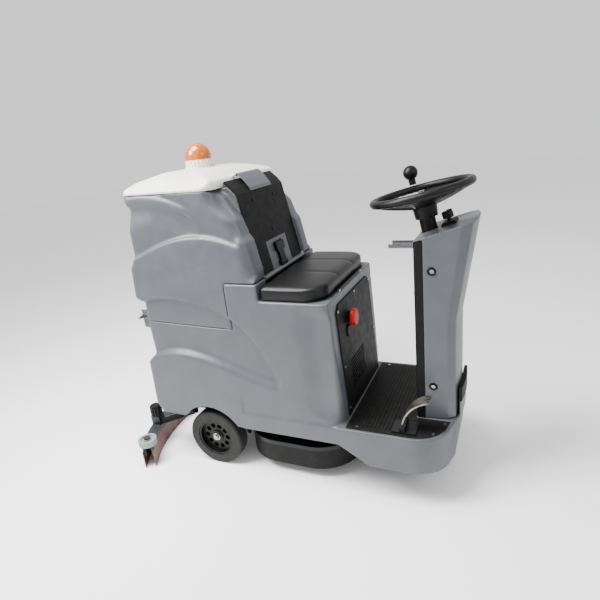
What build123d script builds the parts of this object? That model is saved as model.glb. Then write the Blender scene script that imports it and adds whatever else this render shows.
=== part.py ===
"""Ride-on floor scrubber: base moulding, recovery tank, steering column, scrub deck and squeegee.

Sizes are in millimetres, +Z is up and +X is the driving direction. Everything is laid out from the
rear axle (x = 0), the machine's middle plane (y = 0) and the floor (z = 0). The last lines move the
whole machine along X, so that its origin is under the middle of its overall box.
"""
from build123d import *
import math
import os

os.makedirs("parts", exist_ok=True)

# ---------------------------------------------------------------- driving sizes
# Clearances
running_fit = 0.05          # radial, a shaft in its bore
face_gap = 0.3              # between pieces that move past each other
seam_gap = 1.0              # between the two big mouldings

# Wheels
rear_wheel_radius = 125
rear_tyre_width = 65
rear_rim_radius = 84
wheel_outer_y = 270
axle_radius = 10
drive_wheel_radius = 105
drive_tyre_width = 54
drive_rim_radius = 68
kingpin_x = 850
kingpin_radius = 15

# Base moulding
body_half_width = 283
seat_base_half_width = 277
body_front_x = 990
body_wall = 30
body_ceiling_z = 262        # underside of the battery floor and of the deck plate
battery_floor_z = 275
deck_z = 282
skirt_bottom_z = 138
body_bottom_z = 210
rear_bottom_z = 223
rear_top_x = -256
rear_belly_x = -286
seam_rear_z = 651
seam_front_z = 638
ledge_rear_x = 169
ledge_front_x = 306
ledge_z = 828
rim_z = 765
seat_front_top_x = 573
seat_front_top_z = 732
seat_front_foot_x = 597
seat_corner_radius = 62
arch_radius = 160

# Bays in the base moulding
battery_length = 260
battery_width = 181
battery_height = 275
battery_gap = 6
bay_rear_x = -104
bay_wall = 18
bay_half_width = 190
motor_bay_half_width = 185
hose_bay_rear_x = -222
hose_bay_front_x = -124
hose_bay_top_z = 620

# Steel frame
rail_half_gap = 160
rail_width = 40
rail_bottom_z = 220
rail_rear_x = -212
rail_front_x = 900
plate_thickness = 6

# Steering
steer_lean = 11             # degrees, rearward
wheel_centre_x = 846
wheel_centre_z = 1090
steer_wheel_radius = 180
steer_tube_radius = 14
steer_shaft_radius = 11
lower_shaft_radius = 9
gear_module = 2.5
pinion_teeth = 14
ring_teeth = 60
pressure_angle = 25
gear_backlash = 0.35
gear_thickness = 11
ring_rim = 7

# Column
column_rear_x = 838
cover_depth = 30
column_half_width = 134
column_wall = 6
column_nose_x = 982
column_knee_z = 660
column_top_z = 1045
bolt_x = 898
bolt_heights = (415, 846)
cup_radius = 12
column_flare = 0.16         # forward growth of the nose above the knee
dash_rear_z = 950
dash_slope = 0.30

# Seat
seat_half_width = 272
seat_cushion_height = 58
seat_front_radius = 85
seat_rear_radius = 10
seat_hinge_radius = 4

# Recovery tank
tank_half_width = 272
tank_wall = 8
tank_top_z = 1165
panel_half_width = 183
panel_thickness = 7
tank_hinge_x = -300
tank_hinge_z = 654
tank_hinge_radius = 6
lid_rim_height = 12
lid_crown_z = 1232
lid_wall = 5
lid_corner_radius = 50
lid_rear_x = -238
lid_front_x = 170

# Beacon
beacon_x = -38
beacon_dome_radius = 52
beacon_top_z = 1329

# Scrub deck
deck_centre_x = 351
deck_half_length = 246
deck_half_width = 248
deck_corner_radius = 170
deck_plate_low_z = 131
deck_plate_top_z = 149
skirt_low_z = 45
skirt_thickness = 5
brush_radius = 228
bristle_tip_z = 41
guide_x = 70
guide_y = 110
guide_radius = 9

# Squeegee
squeegee_radius = 716
squeegee_rear_x = -400
squeegee_half_angle = 31.2
blade_half_angle = 32.6
squeegee_bar_low_z = 84
squeegee_bar_top_z = 98
blade_thickness = 4
squeegee_hinge_x = -150
squeegee_hinge_z = 195
squeegee_arm_y = 200
end_roller_radius = 40

nodes = {}


# ---------------------------------------------------------------- helpers
def keep(name, *pieces):
    """File the solids of one node under its name."""
    nodes[name] = [solid for piece in pieces for solid in piece.solids()]


def block(x_low, x_high, y_low, y_high, z_low, z_high):
    """A box given by its six faces."""
    centre = Pos((x_low + x_high) / 2, (y_low + y_high) / 2, (z_low + z_high) / 2)
    return centre * Box(x_high - x_low, y_high - y_low, z_high - z_low)


def rounded_block(x_low, x_high, y_low, y_high, z_low, z_high, radius):
    """A box with round upright edges."""
    plan = RectangleRounded(x_high - x_low, y_high - y_low, radius)
    place = Pos((x_low + x_high) / 2, (y_low + y_high) / 2, z_low)
    return place * extrude(plan, z_high - z_low)


def side_prism(points, y_low, y_high):
    """A closed outline in the side view, pushed along Y."""
    outline = make_face(Polyline(*[(x, y_low, z) for x, z in points], close=True))
    return extrude(outline, y_high - y_low, dir=(0, 1, 0))


def plan_prism(face, z_low, z_high):
    """A face drawn in the plan view, pushed along Z."""
    return Pos(0, 0, z_low) * extrude(face, z_high - z_low)


def rod(start, end, radius):
    """A round bar between two points."""
    line = Vector(*end) - Vector(*start)
    bar = Cylinder(radius, line.length, align=(Align.CENTER, Align.CENTER, Align.MIN))
    return Plane(origin=start, z_dir=line) * bar


def tube(start, end, outer, inner):
    """A round bar with a round hole through it."""
    return rod(start, end, outer) - rod(start, end, inner)


def other_side(piece):
    """The same piece on the left of the middle plane."""
    return mirror(piece, Plane.XZ)


def both_sides(piece):
    """A piece and its mirror image, as one shape."""
    return piece + other_side(piece)


def screw_head(place, direction, radius, height):
    """A round screw head that stands on a surface, with a slot across it."""
    seat = Plane(origin=place, z_dir=direction)
    head = seat * Cylinder(radius, height, align=(Align.CENTER, Align.CENTER, Align.MIN))
    slot = Box(radius * 1.5, radius * 0.35, height)
    return head - seat * Pos(0, 0, height) * slot


# ---------------------------------------------------------------- base moulding
def body_plan():
    """Outline of the deck from above: straight sides, round front corners, bowed nose."""
    half = body_half_width
    corner_start = (body_front_x - 150, -half)
    corner_end = (body_front_x - 23, -half + 118)
    nose = (body_front_x, 0)
    side = Line((rear_belly_x, -half), corner_start)
    corner = TangentArc(corner_start, corner_end, tangent=(1, 0))
    front = ThreePointArc(corner_end, nose, (corner_end[0], -corner_end[1]))
    other_corner = mirror(corner, Plane.XZ)
    other = mirror(side, Plane.XZ)
    back = Line((rear_belly_x, -half), (rear_belly_x, half))
    return make_face([side.edge(), corner.edge(), front.edge(), other_corner.edge(), other.edge(), back.edge()])


def seat_front_x(z):
    """Where the sloping front of the seat base is at a height."""
    slope = (seat_front_foot_x - seat_front_top_x) / (seat_front_top_z - deck_z)
    return seat_front_top_x + slope * (seat_front_top_z - z)


def seam_z(x):
    """Height of the seam between base and recovery tank."""
    share = (x - rear_top_x) / (ledge_rear_x - rear_top_x)
    return seam_rear_z + share * (seam_front_z - seam_rear_z)


bay_front_x = bay_rear_x + 2 * battery_length + 3 * battery_gap
motor_bay_rear_x = bay_front_x + bay_wall
rim_front_x = seat_front_top_x - 21
pinion_x = kingpin_x + gear_module * (ring_teeth - pinion_teeth) / 2


def make_main_body():
    lower_side = [
        (rear_belly_x + 27, rear_bottom_z), (rear_belly_x, rear_bottom_z + 46),
        (rear_belly_x + 8, 467), (rear_top_x + 5, 498), (rear_top_x + 5, deck_z + 310),
        (rear_top_x, seam_rear_z), (ledge_rear_x, seam_front_z), (ledge_rear_x, deck_z),
        (body_front_x, deck_z), (body_front_x - 4, body_ceiling_z), (body_front_x - 16, skirt_bottom_z),
        (body_front_x - 302, skirt_bottom_z), (body_front_x - 358, skirt_bottom_z + 33),
        (body_front_x - 420, body_bottom_z), (arch_radius, body_bottom_z), (0, rear_bottom_z),
    ]
    lower = side_prism(lower_side, -body_half_width, body_half_width)
    lower &= plan_prism(body_plan(), 0, ledge_z)
    upper_side = [
        (ledge_rear_x - 60, deck_z - 20), (ledge_rear_x - 60, seam_z(ledge_rear_x - 60)),
        (ledge_rear_x, seam_front_z), (ledge_rear_x, ledge_z), (ledge_front_x, ledge_z),
        (ledge_front_x, rim_z), (seat_front_top_x - 2, rim_z), (seat_front_top_x, seat_front_top_z),
        (seat_front_foot_x, deck_z), (seat_front_foot_x, deck_z - 20),
    ]
    upper = side_prism(upper_side, -seat_base_half_width, seat_base_half_width)
    upper &= rounded_block(rear_belly_x - 200, seat_front_foot_x, -seat_base_half_width,
                           seat_base_half_width, 0, ledge_z, seat_corner_radius)
    body = lower + upper
    # Hollow underneath, with the battery floor and the deck plate as its ceiling
    body -= plan_prism(offset(body_plan(), -body_wall), 0, body_ceiling_z)
    # Battery bay, motor bay and the well of the suction hose
    body -= block(bay_rear_x, bay_front_x, -bay_half_width, bay_half_width, battery_floor_z, ledge_z + 10)
    body -= block(motor_bay_rear_x, rim_front_x, -motor_bay_half_width, motor_bay_half_width,
                  deck_z + 18, ledge_z)
    body -= block(rim_front_x - 1, seat_front_foot_x + 1, -motor_bay_half_width, motor_bay_half_width,
                  deck_z + 30, seat_front_top_z - 12)
    body -= block(hose_bay_rear_x, hose_bay_front_x, -bay_half_width, bay_half_width,
                  0, hose_bay_top_z)
    body -= block(rear_belly_x - 1, hose_bay_rear_x + 1, -46, 46, 0, body_ceiling_z + 4)
    # Wheel houses
    house_inner_y = wheel_outer_y - rear_tyre_width - 6
    body -= both_sides(rod((0, house_inner_y, rear_wheel_radius),
                           (0, body_half_width + 1, rear_wheel_radius), arch_radius))
    # Hole for the lower steering shaft, recess for the mat
    body -= rod((pinion_x, 0, body_ceiling_z - 1), (pinion_x, 0, deck_z + 1), lower_shaft_radius + 5)
    body -= mat_outline(0, deck_z - mat_depth, deck_z + 1)
    # Apron in front of the column foot
    apron_half = 96
    apron = block(column_nose_x + face_gap, body_front_x + 5, -apron_half, apron_half, deck_z - 3, deck_z + 63)
    nose_curve = Pos(body_front_x + 5 - 660, 0, 0) * Cylinder(660, 900)
    body += apron & nose_curve
    # Lower hinge lugs for the recovery tank
    body += both_sides(hinge_lug(hinge_lug_y, seam_rear_z - 49, seam_rear_z - 3))
    return body


mat_depth = 6
hinge_lug_y = 206
hinge_lug_width = 17


def mat_outline(gap, z_low, z_high):
    """The mat's plan, kept clear of the rim, the seat base and the column foot."""
    mat = plan_prism(offset(body_plan(), -14 - gap), z_low, z_high)
    mat &= block(seat_front_foot_x + 3 + gap, body_front_x, -body_half_width, body_half_width, z_low, z_high)
    foot = block(column_rear_x - 2 - gap, body_front_x, -column_half_width - 2 - gap,
                 column_half_width + 2 + gap, z_low, z_high)
    return mat - foot


def hinge_lug(y_low, z_low, z_high):
    """A lug on the rear face that carries one knuckle of the tank hinge."""
    knuckle = rod((tank_hinge_x, y_low, tank_hinge_z),
                  (tank_hinge_x, y_low + hinge_lug_width, tank_hinge_z), 12)
    web = block(tank_hinge_x, rear_top_x + 12, y_low, y_low + hinge_lug_width, z_low, z_high)
    nose = block(tank_hinge_x - 8, tank_hinge_x + 1, y_low, y_low + hinge_lug_width,
                 min(z_low, tank_hinge_z), max(z_high, tank_hinge_z)) & knuckle
    bore = rod((tank_hinge_x, y_low - 1, tank_hinge_z),
               (tank_hinge_x, y_low + hinge_lug_width + 1, tank_hinge_z), tank_hinge_radius + running_fit)
    return web + knuckle + nose - bore


def make_deck_mat():
    mat = mat_outline(face_gap, deck_z - mat_depth + 0.1, deck_z - 1)
    rib_pitch = 14
    rib_count = 15
    first_rib_x = seat_front_foot_x + 18
    ribs = []
    for index in range(rib_count):
        x = first_rib_x + index * rib_pitch
        ribs.append(block(x, x + 6, -body_half_width + 40, body_half_width - 40, deck_z - 2, deck_z + 1))
    for rib in ribs:
        mat += rib
    return mat


def make_chassis_frame():
    rail = block(rail_rear_x, rail_front_x, rail_half_gap, rail_half_gap + rail_width,
                 rail_bottom_z, body_ceiling_z - 0.2)
    axle_plate = block(-24, 24, rail_half_gap + 26, rail_half_gap + rail_width,
                       rear_wheel_radius - 22, rail_bottom_z + 1)
    axle_plate -= rod((0, 0, rear_wheel_radius), (0, body_half_width, rear_wheel_radius), axle_radius)
    squeegee_ear = block(squeegee_hinge_x - 14, squeegee_hinge_x + 14, squeegee_arm_y - 16,
                         squeegee_arm_y - 2, squeegee_hinge_z - 12, rail_bottom_z + 1)
    squeegee_pin = rod((squeegee_hinge_x, squeegee_arm_y - 20, squeegee_hinge_z),
                       (squeegee_hinge_x, squeegee_arm_y + 12, squeegee_hinge_z), 7)
    guide = rod((guide_x, guide_y, 62), (guide_x, guide_y, rail_bottom_z + 10), guide_radius)
    side = rail + axle_plate + squeegee_ear + squeegee_pin + guide
    frame = side + other_side(side)
    for cross_x in (-112, guide_x - 20, 640):
        frame += block(cross_x, cross_x + 36, -rail_half_gap - 5, rail_half_gap + 5,
                       rail_bottom_z, body_ceiling_z - 0.2)
    front_plate = block(kingpin_x - 82, rail_front_x + 34, -rail_half_gap - 5, rail_half_gap + 5,
                        body_ceiling_z - 0.2 - plate_thickness, body_ceiling_z - 0.2)
    shaft_boss = rod((pinion_x, 0, fork_top_z + gear_thickness + 4), (pinion_x, 0, body_ceiling_z - 1), 16)
    frame += front_plate + shaft_boss
    frame -= rod((pinion_x, 0, 200), (pinion_x, 0, body_ceiling_z), lower_shaft_radius + running_fit)
    frame -= rod((kingpin_x, 0, 200), (kingpin_x, 0, body_ceiling_z), kingpin_radius + 3)
    return frame


fork_top_z = 2 * drive_wheel_radius + 14


def make_fork_bearing():
    """Ring under the front plate that carries the kingpin."""
    top = body_ceiling_z - 0.2 - plate_thickness
    return tube((kingpin_x, 0, fork_top_z + gear_thickness + 1), (kingpin_x, 0, top), 40,
                kingpin_radius + running_fit)


def make_rear_axle():
    shaft = rod((0, -wheel_outer_y + 14, rear_wheel_radius), (0, wheel_outer_y - 14, rear_wheel_radius),
                axle_radius)
    return shaft


def make_axle_ends():
    """Brass washer and hexagon bolt that hold each rear wheel on its axle."""
    washer_y = wheel_outer_y - 14
    washer = rod((0, washer_y, rear_wheel_radius), (0, washer_y + 3, rear_wheel_radius), 17)
    hexagon = extrude(RegularPolygon(11, 6), 9)
    bolt = Plane(origin=(0, washer_y + 3, rear_wheel_radius), z_dir=(0, 1, 0)) * hexagon
    return [washer, bolt, other_side(washer), other_side(bolt)]


def make_batteries():
    cells = []
    for row in range(2):
        for column in range(2):
            x = bay_rear_x + battery_gap + row * (battery_length + battery_gap)
            y = -battery_width - battery_gap / 2 + column * (battery_width + battery_gap)
            case = rounded_block(x, x + battery_length, y, y + battery_width,
                                 battery_floor_z, battery_floor_z + battery_height, 6)
            for post in (40, battery_length - 40):
                case += rod((x + post, y + battery_width / 2, battery_floor_z + battery_height - 1),
                            (x + post, y + battery_width / 2, battery_floor_z + battery_height + 14), 8)
            cells.append(case)
    return cells


def make_vacuum_motor():
    """Suction motor behind the louvres, standing on the floor of the front bay."""
    x = (motor_bay_rear_x + rim_front_x) / 2 + 6
    floor = deck_z + 18
    can = rod((x, 40, floor), (x, 40, floor + 105), 44)
    fan = rod((x, 40, floor + 105), (x, 40, floor + 175), 48)
    outlet = rod((x, 40, floor + 140), (x, 130, floor + 140), 20)
    return can + fan + outlet


def make_motor_controller():
    x = motor_bay_rear_x
    case = block(x, x + 40, -160, -40, deck_z + 60, deck_z + 240)
    for index in range(6):
        fin_y = -150 + index * 20
        case += block(x + 39, x + 62, fin_y, fin_y + 5, deck_z + 70, deck_z + 230)
    return case


# ---------------------------------------------------------------- front panel of the seat base
panel_lean = math.degrees(math.atan2(seat_front_foot_x - seat_front_top_x, seat_front_top_z - deck_z))


def front_plane(y, z, proud):
    """A plane on the seat base's sloping front, its z axis pointing forwards."""
    normal = Vector(math.cos(math.radians(panel_lean)), 0, math.sin(math.radians(panel_lean)))
    place = Vector(seat_front_x(z), y, z) + normal * proud
    return Plane(origin=place, x_dir=(0, 1, 0), z_dir=normal)


def make_seat_base_panel():
    """Black cover on the seat base with cooling louvres and chamfered top corners."""
    half = 204
    low = deck_z + 12
    high = seat_front_top_z
    mid = (low + high) / 2
    outline = Polyline((-half, low - mid), (half, low - mid), (half, high - mid - 26), (half - 30, high - mid),
                       (-half + 30, high - mid), (-half, high - mid - 26), close=True)
    panel = front_plane(0, mid, 0.1) * extrude(make_face(outline), 5)
    for index in range(9):
        slot_z = deck_z + 96 + index * 13
        panel -= front_plane(-46, slot_z, -1) * extrude(RectangleRounded(164, 6, 2.5), 10)
    panel -= front_plane(e_stop_y, e_stop_z, -1) * extrude(Circle(12), 10)
    panel -= front_plane(socket_y, socket_z, -1) * extrude(Circle(17), 10)
    return panel


e_stop_y = -80
e_stop_z = 648
e_stop_travel = 5
socket_y = -105
socket_z = 604


def make_e_stop_collar():
    """Round base of the emergency stop, with its contact block behind the panel."""
    front = front_plane(e_stop_y, e_stop_z, 5.1) * extrude(Circle(22), 7)
    neck = front_plane(e_stop_y, e_stop_z, -30) * extrude(Circle(11.7), 35.2)
    contacts = front_plane(e_stop_y, e_stop_z, -60) * extrude(Rectangle(36, 36), 30)
    bore = front_plane(e_stop_y, e_stop_z, -20) * extrude(Circle(7 + running_fit), 40)
    return front + neck + contacts - bore


def make_e_stop_button():
    stem = front_plane(e_stop_y, e_stop_z, -10) * extrude(Circle(7), 29)
    rim = front_plane(e_stop_y, e_stop_z, 12.1 + e_stop_travel + face_gap) * extrude(Circle(33), 16)
    rim = fillet(rim.edges().filter_by(GeomType.CIRCLE).group_by(Axis.X)[-1], 9)
    return stem + rim


def make_charge_socket():
    """Charging socket with its flap closed."""
    body = front_plane(socket_y, socket_z, -38) * extrude(Circle(16.7), 43)
    flap = front_plane(socket_y, socket_z, 5.1) * extrude(RectangleRounded(44, 40, 9), 5)
    return body + flap


def make_chassis_screws():
    """Silver screws of the black panel and of the deck mat."""
    heads = []
    for z in (deck_z + 40, deck_z + 211, seat_front_top_z - 22):
        for y in (-193, 193):
            place = front_plane(y, z, 5.1)
            heads.append(screw_head(place.origin, place.z_dir, 5, 3))
    top = front_plane(0, seat_front_top_z - 9, 5.1)
    heads.append(screw_head(top.origin, top.z_dir, 5, 3))
    for x, inset in ((640, 31), (912, 53), (943, 123)):
        for side in (-1, 1):
            place = (x, side * (body_half_width - inset), deck_z - 1)
            heads.append(screw_head(place, (0, 0, 1), 6, 3))
    return heads


# ---------------------------------------------------------------- column
def dash_z(x):
    """Height of the sloping top of the column."""
    return dash_rear_z + dash_slope * (x - column_rear_x)


def column_section(z, inset, rear_x):
    """Plan of the column at a height: flat sides, creased shoulders and a bowed nose."""
    lean = max(0, z - column_knee_z) * column_flare
    half = column_half_width - inset
    crease_x = 950 + 0.8 * lean
    shoulder_x = column_nose_x - 10 + 0.95 * lean - inset
    nose_x = column_nose_x + lean - inset
    sides = Polyline((shoulder_x, -half + 30), (crease_x, -half + 9), (rear_x, -half), (rear_x, half),
                     (crease_x, half - 9), (shoulder_x, half - 30))
    nose = ThreePointArc((shoulder_x, -half + 30), (nose_x, 0), (shoulder_x, half - 30))
    return Pos(0, 0, z) * make_face(sides.edges() + nose.edges())


def column_solid(inset, rear_x, low_z):
    """Straight lower part and flaring upper part of the column."""
    straight = extrude(column_section(low_z, inset, rear_x), column_knee_z - low_z)
    flare = loft([column_section(column_knee_z, inset, rear_x), column_section(column_top_z, inset, rear_x)],
                 ruled=True)
    return straight + flare


def above_dash(drop):
    """Everything above the dash surface, lowered by a distance."""
    low_x = column_rear_x - 100
    high_x = column_nose_x + 200
    points = [(low_x, dash_z(low_x) - drop), (high_x, dash_z(high_x) - drop), (high_x, 1400), (low_x, 1400)]
    return side_prism(points, -300, 300)


def steering_point(along):
    """A point on the steering axis, at a distance from the wheel's centre."""
    lean = math.radians(steer_lean)
    return (wheel_centre_x - along * math.sin(lean), 0, wheel_centre_z + along * math.cos(lean))


def steering_rod(low, high, radius):
    return rod(steering_point(low), steering_point(high), radius)


housing_radius = 28
housing_low = -150
housing_high = -88


def make_column_shell():
    cover_front_x = column_rear_x + cover_depth
    shell = column_solid(0, cover_front_x, deck_z)
    roof = block(column_rear_x, cover_front_x + 1, -column_half_width, column_half_width,
                 deck_z, column_top_z)
    roof -= side_prism([(column_rear_x - 1, 0), (cover_front_x + 2, 0),
                        (cover_front_x + 2, dash_z(cover_front_x + 2) - column_wall),
                        (column_rear_x - 1, dash_z(column_rear_x - 1) - column_wall)], -300, 300)
    hollow = column_solid(column_wall, cover_front_x - 10, deck_z - 1) - above_dash(column_wall)
    shell = shell - hollow + roof - above_dash(0)
    for z in bolt_heights:
        shell -= rod((bolt_x, -column_half_width - 5, z), (bolt_x, column_half_width + 5, z),
                     cup_radius + running_fit)
    return shell - steering_rod(housing_low - 60, 50, housing_radius + running_fit)


def make_column_rear_cover():
    """Black cover that wraps round the back of the column, with two slots for the levers."""
    front_x = column_rear_x + cover_depth - face_gap
    inner_half = column_half_width - 6
    cover = rounded_block(column_rear_x, front_x + 12, -column_half_width, column_half_width,
                          deck_z, column_top_z, 8)
    cover &= block(column_rear_x, front_x, -column_half_width, column_half_width, deck_z, column_top_z)
    cover -= block(column_rear_x + 6, front_x + 1, -inner_half, inner_half, deck_z - 1, column_top_z)
    cover -= above_dash(column_wall + face_gap)
    for y in (-lever_y, lever_y):
        cover -= block(column_rear_x - 1, column_rear_x + 7, y - 10, y + 10, lever_z - 34, lever_z + 16)
    ear = block(column_rear_x + 5, lever_pivot_x + 10, lever_y + 12, lever_y + 18, lever_z - 12, lever_z + 12)
    cover += both_sides(ear)
    cover -= rod((lever_pivot_x, -100, lever_z), (lever_pivot_x, 100, lever_z), 5)
    return cover


lever_y = 30
lever_z = 908
lever_pivot_x = column_rear_x + 22


def make_lever_pin():
    half = lever_y + 22
    return rod((lever_pivot_x, -half, lever_z), (lever_pivot_x, half, lever_z), 5)


def make_lever(y):
    """Chrome hand lever that passes through the rear cover."""
    eye = rod((lever_pivot_x, y - 7, lever_z), (lever_pivot_x, y + 7, lever_z), 12)
    bar = block(column_rear_x - 106, lever_pivot_x, y - 6, y + 6, lever_z - 7, lever_z + 7)
    bar = fillet(bar.edges().filter_by(Axis.X), 4)
    bore = rod((lever_pivot_x, y - 20, lever_z), (lever_pivot_x, y + 20, lever_z), 5 + running_fit)
    return eye + bar - bore


def make_lift_cable():
    """Sheathed cable that hangs behind the cover from a stud under the levers to an eye."""
    x = column_rear_x - 17
    top = lever_z - 40
    low = 732
    sheath = rod((x, 0, low), (x, 0, top), 5)
    top_clip = block(x - 7, column_rear_x - 0.1, -9, 9, top - 14, top)
    top_clip -= rod((x, 0, low), (x, 0, top + 1), 5)
    ring = rod((x, -6, low - 9), (x, 6, low - 9), 11) - rod((x, -7, low - 9), (x, 7, low - 9), 5.5)
    bolt = rod((x - 4, 0, low - 26), (column_rear_x - 0.1, 0, low - 26), 6)
    hanger = block(x - 3, x + 3, -5, 5, low - 32, low - 18)
    return [sheath, top_clip, ring + bolt + hanger]


def make_column_bolts():
    """Silver bolts in black cups, let into both flanks of the column."""
    pieces = []
    for z in bolt_heights:
        cup = rod((bolt_x, -column_half_width - 1, z), (bolt_x, -column_half_width + 14, z), cup_radius)
        cup -= rod((bolt_x, -column_half_width - 2, z), (bolt_x, -column_half_width + 9, z), cup_radius - 4)
        bolt = rod((bolt_x, -column_half_width + 3, z), (bolt_x, -column_half_width + 8.9, z), cup_radius - 4.3)
        pieces += [cup, bolt, other_side(cup), other_side(bolt)]
    return pieces


# ---------------------------------------------------------------- steering
def make_shaft_housing():
    shell = steering_rod(housing_low, housing_high, housing_radius)
    return shell - steering_rod(housing_low - 1, housing_high + 1, steer_shaft_radius + running_fit)


joint_along = -(pinion_x - wheel_centre_x) / math.sin(math.radians(steer_lean))


def make_steering_shaft():
    """Upper shaft with the cup of the constant-velocity joint at its foot."""
    shaft = steering_rod(joint_along + 14, 4, steer_shaft_radius)
    centre = Pos(*steering_point(joint_along))
    cup = centre * Sphere(24) - steering_rod(joint_along - 40, joint_along - 6, 30)
    return shaft + cup - centre * Sphere(17 + face_gap) - steering_rod(joint_along - 40, joint_along, 16)


def make_steering_boss():
    """Big black cone under the wheel."""
    low = steering_point(housing_high + face_gap)
    axis = Vector(*steering_point(1)) - Vector(*steering_point(0))
    cone = Cone(39, 43, 52, align=(Align.CENTER, Align.CENTER, Align.MIN))
    boss = Plane(origin=low, z_dir=axis) * cone
    shoulder = Cone(43, 27, 30, align=(Align.CENTER, Align.CENTER, Align.MIN))
    boss += Plane(origin=steering_point(housing_high + face_gap + 52), z_dir=axis) * shoulder
    return boss - steering_rod(housing_high - 1, 60, steer_shaft_radius)


def make_steering_wheel():
    """Rim and three dished spokes that meet on a hub ring."""
    lean = steer_lean
    place = Pos(*steering_point(0)) * Rot(0, -lean, 0)
    rim = place * Torus(steer_wheel_radius - steer_tube_radius, steer_tube_radius)
    hub = steering_rod(-5.5, 8, 30)
    spokes = []
    for angle in (0, 120, 240):
        reach = steer_wheel_radius - steer_tube_radius
        arm = Plane.YZ.offset(20) * SlotOverall(30, 11)
        spokes.append(place * Rot(0, 0, angle + 60) * extrude(arm, reach - 20))
    wheel = rim + hub
    for spoke in spokes:
        wheel += spoke
    wheel -= steering_rod(-10, 4, steer_shaft_radius)
    pin_low = spinner_point(steer_tube_radius - 3)
    pin_high = spinner_point(steer_tube_radius + 26)
    return wheel + rod(pin_low, pin_high, 5)


spinner_angle = 110
spinner_height = 62


def spinner_point(up):
    """A point on the spinner knob's axis, above the middle of the rim."""
    lean = math.radians(steer_lean)
    reach = steer_wheel_radius - steer_tube_radius
    u = reach * math.cos(math.radians(spinner_angle))
    v = reach * math.sin(math.radians(spinner_angle))
    x = wheel_centre_x + u * math.cos(lean) - up * math.sin(lean)
    z = wheel_centre_z + u * math.sin(lean) + up * math.cos(lean)
    return (x, v, z)


def make_spinner_knob():
    low = steer_tube_radius + 4
    neck = rod(spinner_point(low), spinner_point(spinner_height), 13)
    ball = Pos(*spinner_point(spinner_height)) * Sphere(27)
    bore = rod(spinner_point(low - 1), spinner_point(steer_tube_radius + 27), 5 + running_fit)
    return neck + ball - bore


def gear_face(teeth, inward):
    """Involute gear outline about the origin, with a tooth on the X axis.

    An inward gear is the opening of a ring: its teeth are the spaces between the ring's teeth.
    """
    alpha = math.radians(pressure_angle)
    pitch = gear_module * teeth / 2
    base = pitch * math.cos(alpha)
    side = -1 if inward else 1
    tip = pitch + gear_module * (1.05 if inward else 0.8)
    root = pitch - gear_module * (0.8 if inward else 1.05)
    half_tooth = math.pi / (2 * teeth) - side * gear_backlash / (2 * pitch)
    start = max(base, root)
    flank = [start + (tip - start) * step / 4 for step in range(5)]

    def half_angle(radius):
        local = math.acos(min(1, base / radius))
        return half_tooth + math.tan(alpha) - alpha - (math.tan(local) - local)

    points = []
    for tooth in range(teeth):
        middle = tooth * 2 * math.pi / teeth
        rise = [(radius, middle - half_angle(radius)) for radius in flank]
        fall = [(radius, middle + half_angle(radius)) for radius in reversed(flank)]
        if base > root:
            rise.insert(0, (root, middle - half_angle(base)))
            fall.append((root, middle + half_angle(base)))
        points += rise + fall
    return make_face(Polyline(*[(r * math.cos(a), r * math.sin(a)) for r, a in points], close=True))


def make_steering_pinion():
    """Lower shaft with the joint's ball on top and the pinion at its foot."""
    joint = steering_point(joint_along)
    shaft = rod((pinion_x, 0, fork_top_z + 1), joint, lower_shaft_radius)
    ball = Pos(*joint) * Sphere(17)
    teeth = extrude(gear_face(pinion_teeth, False), gear_thickness - 0.5)
    pinion = Pos(pinion_x, 0, fork_top_z + 0.5) * teeth
    return shaft + ball + pinion


def make_drive_fork():
    """Fork crown with kingpin, ring gear with inward teeth, two legs and the wheel's axle."""
    leg_inner = drive_tyre_width / 2 + 5
    crown = rounded_block(kingpin_x - 34, kingpin_x + 34, -leg_inner - 11, leg_inner + 11,
                          fork_top_z - 10, fork_top_z, 8)
    leg = block(kingpin_x - 20, kingpin_x + 20, leg_inner, leg_inner + 11,
                drive_wheel_radius - 18, fork_top_z - 5)
    ring_radius = gear_module * (ring_teeth / 2 + 1.05) + ring_rim
    web = rod((kingpin_x, 0, fork_top_z - 6), (kingpin_x, 0, fork_top_z), ring_radius)
    ring = Circle(ring_radius) - gear_face(ring_teeth, True)
    gear = web + Pos(kingpin_x, 0, fork_top_z) * extrude(ring, gear_thickness)
    kingpin = rod((kingpin_x, 0, fork_top_z), (kingpin_x, 0, body_ceiling_z - 2), kingpin_radius)
    axle = rod((kingpin_x, -leg_inner - 16, drive_wheel_radius),
               (kingpin_x, leg_inner + 16, drive_wheel_radius), axle_radius)
    return crown + both_sides(leg) + gear + kingpin + axle


def wheel_ring(x, y_low, y_high, outer, inner, height, round_off):
    """A tyre: a ring about the Y axis with round shoulders."""
    ring = tube((x, y_low, height), (x, y_high, height), outer, inner)
    shoulders = ring.edges().filter_by(GeomType.CIRCLE).filter_by(lambda e: e.radius > outer - 1)
    return fillet(shoulders, round_off)


def make_drive_tyre():
    half = drive_tyre_width / 2
    return wheel_ring(kingpin_x, -half, half, drive_wheel_radius, drive_rim_radius, drive_wheel_radius, 9)


def make_drive_hub():
    """Wheel motor: hub body with a gearbox bulge, running on the fork's axle."""
    half = drive_tyre_width / 2
    height = drive_wheel_radius
    hub = rod((kingpin_x, -half + 3, height), (kingpin_x, half - 3, height), drive_rim_radius)
    bulge = rod((kingpin_x, -half - 4, height), (kingpin_x, half + 4, height), 34)
    return hub + bulge - rod((kingpin_x, -60, height), (kingpin_x, 60, height), axle_radius + running_fit)


# ---------------------------------------------------------------- rear wheels
def make_rear_tyre():
    inner_y = wheel_outer_y - rear_tyre_width
    return wheel_ring(0, inner_y, wheel_outer_y, rear_wheel_radius, rear_rim_radius, rear_wheel_radius, 10)


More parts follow.
